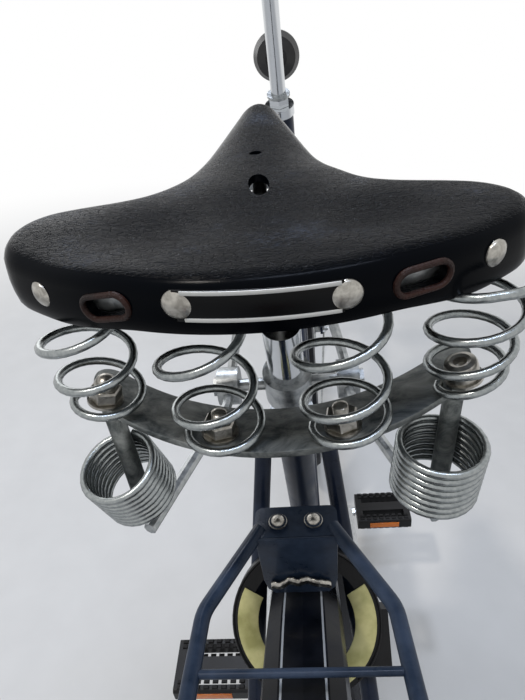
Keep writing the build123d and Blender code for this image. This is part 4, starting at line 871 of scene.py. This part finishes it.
# For each coil: its place to the side, the height of its top, its radius, and how it swings sideways and back
coils = {"right": (81.0, -94.0, 23.0, 4, 2), "left": (-88.5, -98.5, 22.2, -7, 17)}
for word, (x, top, radius, sideways, back) in coils.items():
    points = helix(radius - coil_wire / 2, radius - coil_wire / 2, -coil_wire * (coil_turns + 0.5), -coil_wire / 2,
                   coil_turns, math.radians(70))
    swing = Matrix.Rotation(math.radians(sideways), 4, "Y") @ Matrix.Rotation(math.radians(back), 4, "X")
    coil = wire(f"hanging_coil_{word}", points, coil_wire / 2 - 0.04, 12,
                axes=saddle_level @ Matrix.Translation((x, coil_ahead, top)) @ swing)
    fitted(coil, spring_zinc, angle=60, replaces=("coil_packs",) if word == "right" else ())
print("coils of", coil_turns, "turns")

# %% [markdown]
# ## The saddle's nose iron
# Inside the nose a folded steel iron takes the pull of the hide. It is hidden from above, so it is a plain wedge
# that follows the hide's underside and carries the ends of the rails.

# %% Nose iron
sections = []
for ahead in (178, 196, 214, 230, 243):
    top, half = top_height(0, ahead) - hide_thick - 1.0, 13.0 - 0.08 * (ahead - 178)
    sections.append([saddle_axes @ worn(Vector((x, ahead, z))) for x, z in ((-half, -18.0), (half, -18.0),
                                                                      (half, top - 4), (half * 0.6, top),
                                                                      (-half * 0.6, top), (-half, top - 4))])
iron = softened(skin("nose_iron_folded", sections), 1.0)
fitted(iron, zinc_plate, replaces=("nose_iron",))
bolt = wire("tension_bolt", [(-2.5, 96, -7.5), (-6.5, 180, -4.0)], 4.2, 16, axes=saddle_axes)
fitted(bolt, nickel)
print("nose iron under", round(top_height(0, 243), 1), "mm of nose")

# %% [markdown]
# ## Treaded tyres
# A city tyre has a smooth rib down the middle and blocks on both shoulders, moulded in one piece with the
# sidewall. The section is drawn once and spun round the axle in short steps. On every third step the shoulder's
# points sink by a groove's depth, which gives the blocks without modelling them one by one.

# %% Tyres
wheels = {"rear": Vector((0, -455, 352)), "front": Vector((0, 635, 352))}
tread_steps, groove = 168, 1.3
# Each row is the distance to the side, the radius, and whether the point sinks at a groove
tyre_rows = [(0.0, 351.8, 0), (2.6, 351.6, 0), (3.2, 350.4, 0), (4.6, 350.3, 0), (5.2, 351.0, 1), (9.4, 349.6, 1),
             (13.2, 346.6, 1), (16.4, 342.4, 1), (18.8, 337.2, 0), (20.4, 331.4, 0), (20.8, 326.4, 0),
             (19.0, 320.6, 0), (14.8, 316.0, 0), (10.9, 313.6, 0), (9.6, 310.4, 0), (0.0, 309.6, 0)]
section = tyre_rows + [(-x, radius, sinks) for x, radius, sinks in reversed(tyre_rows[1:-1])]
for word, centre in wheels.items():
    rings = []
    for step in range(tread_steps):
        turn, low = 2 * math.pi * step / tread_steps, groove * (step % 3 == 0)
        rings.append([centre + Vector((x, (radius - low * sinks) * math.cos(turn),
                                       (radius - low * sinks) * math.sin(turn))) for x, radius, sinks in section])
    tyre = skin(f"{word}_tyre_treaded", rings, filled=False, looped=True)
    fitted(tyre, tyre_rubber, f"{word}_wheel", replaces=(f"{word}_tyre",), angle=28)
print("tread blocks round each tyre:", tread_steps // 3)

# %% [markdown]
# ## Nipples and valves
# Each spoke ends in a small nipple in the rim, and the tube's valve stands between two of them. A nipple is turned
# once and copied round the wheel, with the spokes' own spacing.

# %% Nipples and valves
spoke_count = 36
for word, centre in wheels.items():
    first = turned("nipple", [(0.02, -11), (1.5, -11), (1.7, -9), (1.9, -3), (3.0, -1.5), (3.0, 0), (0.02, 0)], 8)
    places = []
    for number in range(spoke_count):
        turn = 2 * math.pi * number / spoke_count
        side = 3.0 if number % 2 else -3.0
        rim_point = centre + Vector((side, 299 * math.cos(turn), 299 * math.sin(turn)))
        outward = Matrix.Rotation(turn - math.pi / 2, 4, "X")
        places.append(Matrix.Translation(rim_point) @ outward)
    nipples = joined(copies(first, "nipple", places), f"{word}_nipples")
    fitted(nipples, nickel, f"{word}_wheel")
    turn = 2 * math.pi * 0.5 / spoke_count
    stem = Matrix.Translation(centre + Vector((0, 300 * math.cos(turn), 300 * math.sin(turn))))
    stem = stem @ Matrix.Rotation(turn + math.pi / 2, 4, "X")
    valve = turned(f"{word}_valve", [(0.02, 0), (5, 0), (5, 2), (3.4, 2.6), (3.4, 22), (2.6, 23), (2.6, 31),
                                     (1.6, 32), (0.02, 32)], 16, stem)
    fitted(valve, black_plastic, f"{word}_wheel")
print(spoke_count, "nipples a wheel")

# %% [markdown]
# ## The ring lock's inner plate
# The lock's housing is a black horseshoe. Inside it the guides of its sliding ring are yellow-chromated steel, and
# they show on both sides of the mudguard. Each guide is a curved flat strip, made of short steps round the ring.

# %% Lock guides
lock_middle, lock_radial = Vector((0, -245.6, 615.0)), Vector((0, 0.6478, 0.7618))
lock_back = Vector((0, -0.7618, 0.6478))
for side, word in ((1, "right"), (-1, "left")):
    rings = []
    for step in range(17):
        turn = math.radians(-62 + 92 * step / 16)
        way = Vector((side, 0, 0)) * math.cos(turn) + lock_radial * math.sin(turn)
        rings.append([lock_middle + way * radius + lock_back * deep
                      for radius, deep in ((40.0, 16.2), (57.5, 16.2), (57.5, 17.4), (40.0, 17.4))])
    guide = softened(skin(f"lock_guide_{word}", rings), 0.4)
    fitted(guide, chromate)
rim = [lock_middle + Vector((x * 61, 0, 0)) + lock_radial * y * 61 + lock_back * 16
       for x, y in ((math.cos(math.radians(a)), math.sin(math.radians(a))) for a in range(-50, 231, 7))]
fitted(wire("lock_edge", rim, 1.2, 8), black_plastic)
print("lock guides between 37 and 56 mm from the lock's middle")

# %% [markdown]
# ## The rack's bolts, clip and front rod
# Two domed bolts hold the rack's front plate, a thin cross rod ties its sides, and under the plate a bent steel
# clip grips the mudguard. The clip has been knocked about, so its strip rises and falls unevenly.

# %% Rack fittings
rack_level, rack_front, rack_half = 745.0, -254.0, 63.0
for side, word in ((1, "right"), (-1, "left")):
    seat = Matrix.Translation((side * 12.5, rack_front, rack_level + 5.6))
    bolt = turned(f"rack_bolt_{word}", [(0.02, 3.4), (2.0, 3.2), (3.8, 2.3), (4.8, 1.0), (5.0, 0.0), (6.6, -0.2),
                                        (6.6, -1.2), (0.02, -1.2)], 24, seat)
    fitted(bolt, nickel)
crossing = wire("rack_front_rod", [(-rack_half + 1, -352, rack_level), (rack_half - 1, -352, rack_level)], 2.6, 12)
fitted(crossing, rack_enamel)
apron = [[Vector((x, y, z)) for x, y in ((-half, -267.6), (half, -267.6), (half, -265.4), (-half, -265.4))]
         for half, z in ((20, 684), (25, 690), (27, 700), (28, 739), (28, 747.5))]
fitted(softened(skin("rack_apron", apron), 0.5), rack_enamel)
rings = []
for step in range(33):
    x = -22 + 44 * step / 32
    up = 700 + 6.5 * math.cos(x * 0.07) + 0.7 * math.sin(x * 0.55) + 0.4 * math.sin(x * 1.3 + 1)
    out = 0.8 * math.sin(x * 0.45 + 2)
    rings.append([Vector((x, -269.4 - out - deep, up + lift))
                  for deep, lift in ((-0.7, -9), (0.7, -9), (2.6, -2), (1.4, 0), (0.0, 0))])
fitted(softened(skin("guard_clip", rings), 0.25), nickel)
print("rack fittings at", rack_level, "mm up")

# %% [markdown]
# ## Pedal treads and reflectors
# Block pedals have rubber treads with rows of studs and an amber reflector in each outer edge. The studs are small
# squares in rows on both faces of the pedal, each drawn in a little at its head.

# %% Pedal treads and reflectors
pedal_pins = {1: Vector((0, 161.68, 237.47)), -1: Vector((0, -161.68, 342.53))}
pedal_inner, pedal_outer, pedal_reach, pedal_half_thick = 85.0, 181.0, 33.0, 12.0
for side, word in ((1, "right"), (-1, "left")):
    pin, studs = pedal_pins[side], []
    for way in (1, -1):
        for face in (1, -1):
            for number in range(8):
                x = side * (pedal_inner + 9 + number * 11.2)
                for row in (21.5, 28.0):
                    axes = Matrix.Translation((x, pin.y + way * row, pin.z + face * pedal_half_thick))
                    axes = axes @ Matrix.Rotation(0 if face > 0 else math.pi, 4, "X")
                    corners = ((-3.6, -2.3), (3.6, -2.3), (3.6, 2.3), (-3.6, 2.3))
                    studs.append(skin("stud", [[axes @ Vector((cx * shrink, cy * shrink, height))
                                                for cx, cy in corners] for shrink, height in ((1, -0.5), (1, 1.0),
                                                                                             (0.72, 1.9))]))
        reflector = skin(f"pedal_reflector_{word}_{'front' if way > 0 else 'back'}",
                         [[Vector((side * (pedal_inner + 22 + along), pin.y + way * (pedal_reach + out), pin.z + up))
                           for along, up in ((0, -6), (52, -6), (52, 6), (0, 6))] for out in (-1.0, 0.9)])
        fitted(softened(reflector, 0.6), amber_lens, f"{word}_pedal")
    treads = joined(studs, f"pedal_studs_{word}")
    fitted(treads, grip_rubber, f"{word}_pedal")
print("studs on each pedal:", len(studs))

# %% [markdown]
# ## Lamps
# The headlamp's black shell carries a chromed rim and a clear dished lens. The rear lamp has a red lens with a
# moulded edge. A lens is turned as a shallow dome, and a rim is a ring of wire round it.

# %% Headlamp and rear lamp
lamp_middle = Vector((0, 444.97, 977.05))
facing = Matrix.Translation(lamp_middle + Vector((0, 14, 0))) @ Matrix.Rotation(-math.pi / 2, 4, "X")
glass = turned("headlamp_lens", [(0.02, 0.4), (31.5, 0.4), (31.5, 1.6), (24, 4.2), (13, 6.4), (0.02, 7.2)], 40, facing)
fitted(glass, clear_lens, "steering")
rim = wire("headlamp_rim", circle(33.4, 48, 0.8), 2.4, 12, looped=True, axes=facing)
fitted(rim, chrome, "steering")
reflector = turned("headlamp_reflector", [(0.02, 0.1), (30, 0.1), (30, 0.35), (0.02, 0.35)], 32, facing)
fitted(reflector, chrome, "steering")
tail = [[Vector((x * shrink, -649.6 - out, 719.7 + z * shrink)) for x, z in ((-39, -17), (39, -17), (39, 17), (-39, 17))]
        for shrink, out in ((1.0, -1.0), (1.0, 0.0), (0.94, 0.3))]
fitted(softened(skin("tail_lens", tail), 1.2, 3), red_lens)
box = [[Vector((x, y, 719.7 + z)) for x, z in ((-42.6, -20.5), (42.6, -20.5), (42.6, 20.5), (-42.6, 20.5))]
       for y in (-640, -621)]
print("lamp glass 66 mm across")

# %% [markdown]
# ## Grips and bell
# The grips are moulded with rings so that a wet hand holds them, and end in a thicker cap. The bell is a thin
# chromed dome over its works, rolled in at the foot. Both are turned profiles.

# %% Grips and bell
grip_end, grip_way = Vector((300, 192.235, 1114)), Vector((0.15318, -0.982908, -0.10212))
profile = [(0.02, 0), (11.4, 0), (16.2, 0.6), (16.4, 3)]
for number in range(18):
    at = 6 + number * 6.4
    profile += [(15.4, at), (16.4, at + 1.2), (16.4, at + 4.2), (15.4, at + 5.4)]
profile += [(16.5, 124), (16.5, 131), (14.5, 133.8), (0.02, 133.9)]
for side, word in ((1, "right"), (-1, "left")):
    way = Vector((side * grip_way.x, grip_way.y, grip_way.z))
    foot = Vector((side * grip_end.x, grip_end.y, grip_end.z)) - way * 130
    turn = way.to_track_quat("Z", "Y").to_matrix().to_4x4()
    grip = turned(f"grip_{word}_ribbed", profile, 28, Matrix.Translation(foot) @ turn)
    fitted(grip, grip_rubber, "steering", replaces=("grips",) if side > 0 else ())
dome = turned("bell_dome", [(0.02, 17.4), (5, 17.2), (12, 15.4), (18, 12.0), (22.6, 7.4), (25.2, 2.4), (25.8, 0.0),
                            (25.0, -0.6), (23.6, 0.4), (0.02, 0.4)], 40, Matrix.Translation((-50, 382.2, 1105.3)))
fitted(dome, chrome, "steering", replaces=("bell",))
clamp = flat_ring("bell_clamp", 15.4, 12.2, 12.0,
                  Matrix.Translation((-56, 382.2, 1084)) @ Matrix.Rotation(math.pi / 2, 4, "Y"))
fitted(clamp, chrome, "steering")
post = turned("bell_post", [(0.02, 0), (5, 0), (5, 8), (0.02, 8)], 16, Matrix.Translation((-50, 382.2, 1098)))
fitted(post, chrome, "steering")
print("grip ribs: 18, bell 52 mm across")

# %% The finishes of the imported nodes
coats = {
    navy_enamel: "head_tube bottom_bracket seat_tube down_tube upper_tube chain_stays seat_stays rear_dropouts fork",
    rack_enamel: "rear_rack rack_bracket",
    black_enamel: "stand_leg stand_bracket",
    lined_enamel: "rear_mudguard front_mudguard",
    chrome: "headset_cups seat_post stem handlebar bell",
    zinc_plate: "seat_collar saddle_springs spring_bolts coil_packs hanger_rods saddle_rails nose_iron saddle_clamp"
                " rear_axle front_axle rear_spokes front_spokes rear_mudguard_stays front_mudguard_stays"
                " lamp_bracket cantle_plate",
    weathered_zinc: "bridge_plate",
    alloy: "cranks rear_rim front_rim rear_hub front_hub brake_lever front_brake",
    case_plastic: "chain_case",
    black_plastic: "pedal_right pedal_left ring_lock headlamp",
    grip_rubber: "grips",
    tyre_rubber: "rear_tyre front_tyre",
    hide_black: "saddle_leather",
    red_lens: "tail_lamp",
}
for material, names in coats.items():
    for name in names.split():
        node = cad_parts[name]
        if not node.material_slots:
            node.data.materials.append(material)
        for place in node.material_slots:
            place.material = material
print("finished", sum(len(names.split()) for names in coats.values()), "nodes")

# %% [markdown]
# ## Floor, light and background
# The bicycle stands on a plain pale floor under soft studio light. A small bluish lamp high ahead of the bicycle, on
# the left, stands in for the open sky, a small warm one high behind the camera's left for the sun, and a long narrow
# one above the camera draws long bright lines on the saddle's fold and the springs' wire. A broad lamp ahead on the
# left and the world fill the shadows. What the camera, metal and glass see beyond the floor is plain white.

# %% Floor
clear()
bpy.ops.mesh.primitive_plane_add(size=14, location=(0, 0, 0))
floor = bpy.context.object
floor.name = "floor"
pale_floor, tree, shader = finish("pale_studio_floor", roughness=0.9)
speckle = add(tree, "ShaderNodeTexNoise", {"Vector": add(tree, "ShaderNodeTexCoord").outputs["Object"]},
              {"Scale": 12.0, "Detail": 4.0})
tone = add(tree, "ShaderNodeValToRGB", {"Fac": speckle.outputs["Fac"]})
tone.color_ramp.elements[0].color = colour("D9D8D5")
tone.color_ramp.elements[1].color = colour("E4E3E0")
tree.links.new(tone.outputs["Color"], shader.inputs["Base Color"])
from_middle = add(tree, "ShaderNodeVectorMath", {0: tree.nodes["Texture Coordinate"].outputs["Object"]},
                  operation="LENGTH")
far = add(tree, "ShaderNodeMapRange", {"Value": from_middle.outputs["Value"]}, {"From Min": 1.3, "From Max": 3.2},
          interpolation_type="SMOOTHSTEP")
rays = add(tree, "ShaderNodeLightPath")
seen = add(tree, "ShaderNodeMath", {0: rays.outputs["Is Camera Ray"], 1: rays.outputs["Is Glossy Ray"]},
           operation="MAXIMUM")
share = add(tree, "ShaderNodeMath", {0: far.outputs["Result"], 1: seen.outputs[0]}, operation="MULTIPLY")
white = add(tree, "ShaderNodeEmission", None, {"Color": colour("FFFFFF"), "Strength": 1.0})
blend = add(tree, "ShaderNodeMixShader", {0: share.outputs[0], 1: shader.outputs[0], 2: white.outputs[0]})
tree.links.new(blend.outputs[0], tree.nodes["Material Output"].inputs["Surface"])
floor.data.materials.append(pale_floor)

# %% Lamps and world
def lamp(name, place, target, power, size, tint="FFFFFF", narrow=1.0):
    """A soft lamp aimed at a point, square or as narrow as asked."""
    data = bpy.data.lights.new(name, "AREA")
    data.shape = "RECTANGLE"
    data.energy, data.size, data.size_y, data.color = power, size, size * narrow, colour(tint)[:3]
    lamp_object = bpy.data.objects.new(name, data)
    bpy.context.collection.objects.link(lamp_object)
    aim = (Vector(target) - Vector(place)).to_track_quat("-Z", "Y").to_matrix().to_4x4()
    lamp_object.matrix_world = Matrix.Translation(place) @ aim


lamp("sky", (-0.4, 1.0, 2.8), (0, -0.2, 0.8), 20, 0.26, "E6EEFF")
lamp("sun_side", (-0.9, -0.9, 2.7), (0, -0.3, 0.9), 17, 0.12, "FFF8F0")
lamp("strip", (0.1, -0.75, 2.6), (0, -0.3, 0.95), 11, 1.0, "D6E4FF", 0.06)
lamp("front_fill", (-1.6, 2.4, 1.6), (0, 0, 0.6), 12, 1.4)

world = bpy.data.worlds.new("studio")
bpy.context.scene.world = world
world.use_nodes = True
tree = world.node_tree
rays = add(tree, "ShaderNodeLightPath")
mirrors = add(tree, "ShaderNodeMath", {0: rays.outputs["Is Camera Ray"], 1: rays.outputs["Is Glossy Ray"]},
              operation="MAXIMUM")
seen = add(tree, "ShaderNodeMath", {0: mirrors.outputs[0], 1: rays.outputs["Is Transmission Ray"]},
           operation="MAXIMUM")
fill = tree.nodes["Background"]
fill.inputs["Color"].default_value = colour("E8ECF2")
fill.inputs["Strength"].default_value = 0.5
beyond = add(tree, "ShaderNodeBackground", None, {"Color": colour("FFFFFF"), "Strength": 1.0})
mixed = add(tree, "ShaderNodeMixShader", {0: seen.outputs[0], 1: fill.outputs[0], 2: beyond.outputs[0]})
tree.links.new(mixed.outputs[0], tree.nodes["World Output"].inputs["Surface"])
bpy.context.scene.view_settings.view_transform = "Standard"
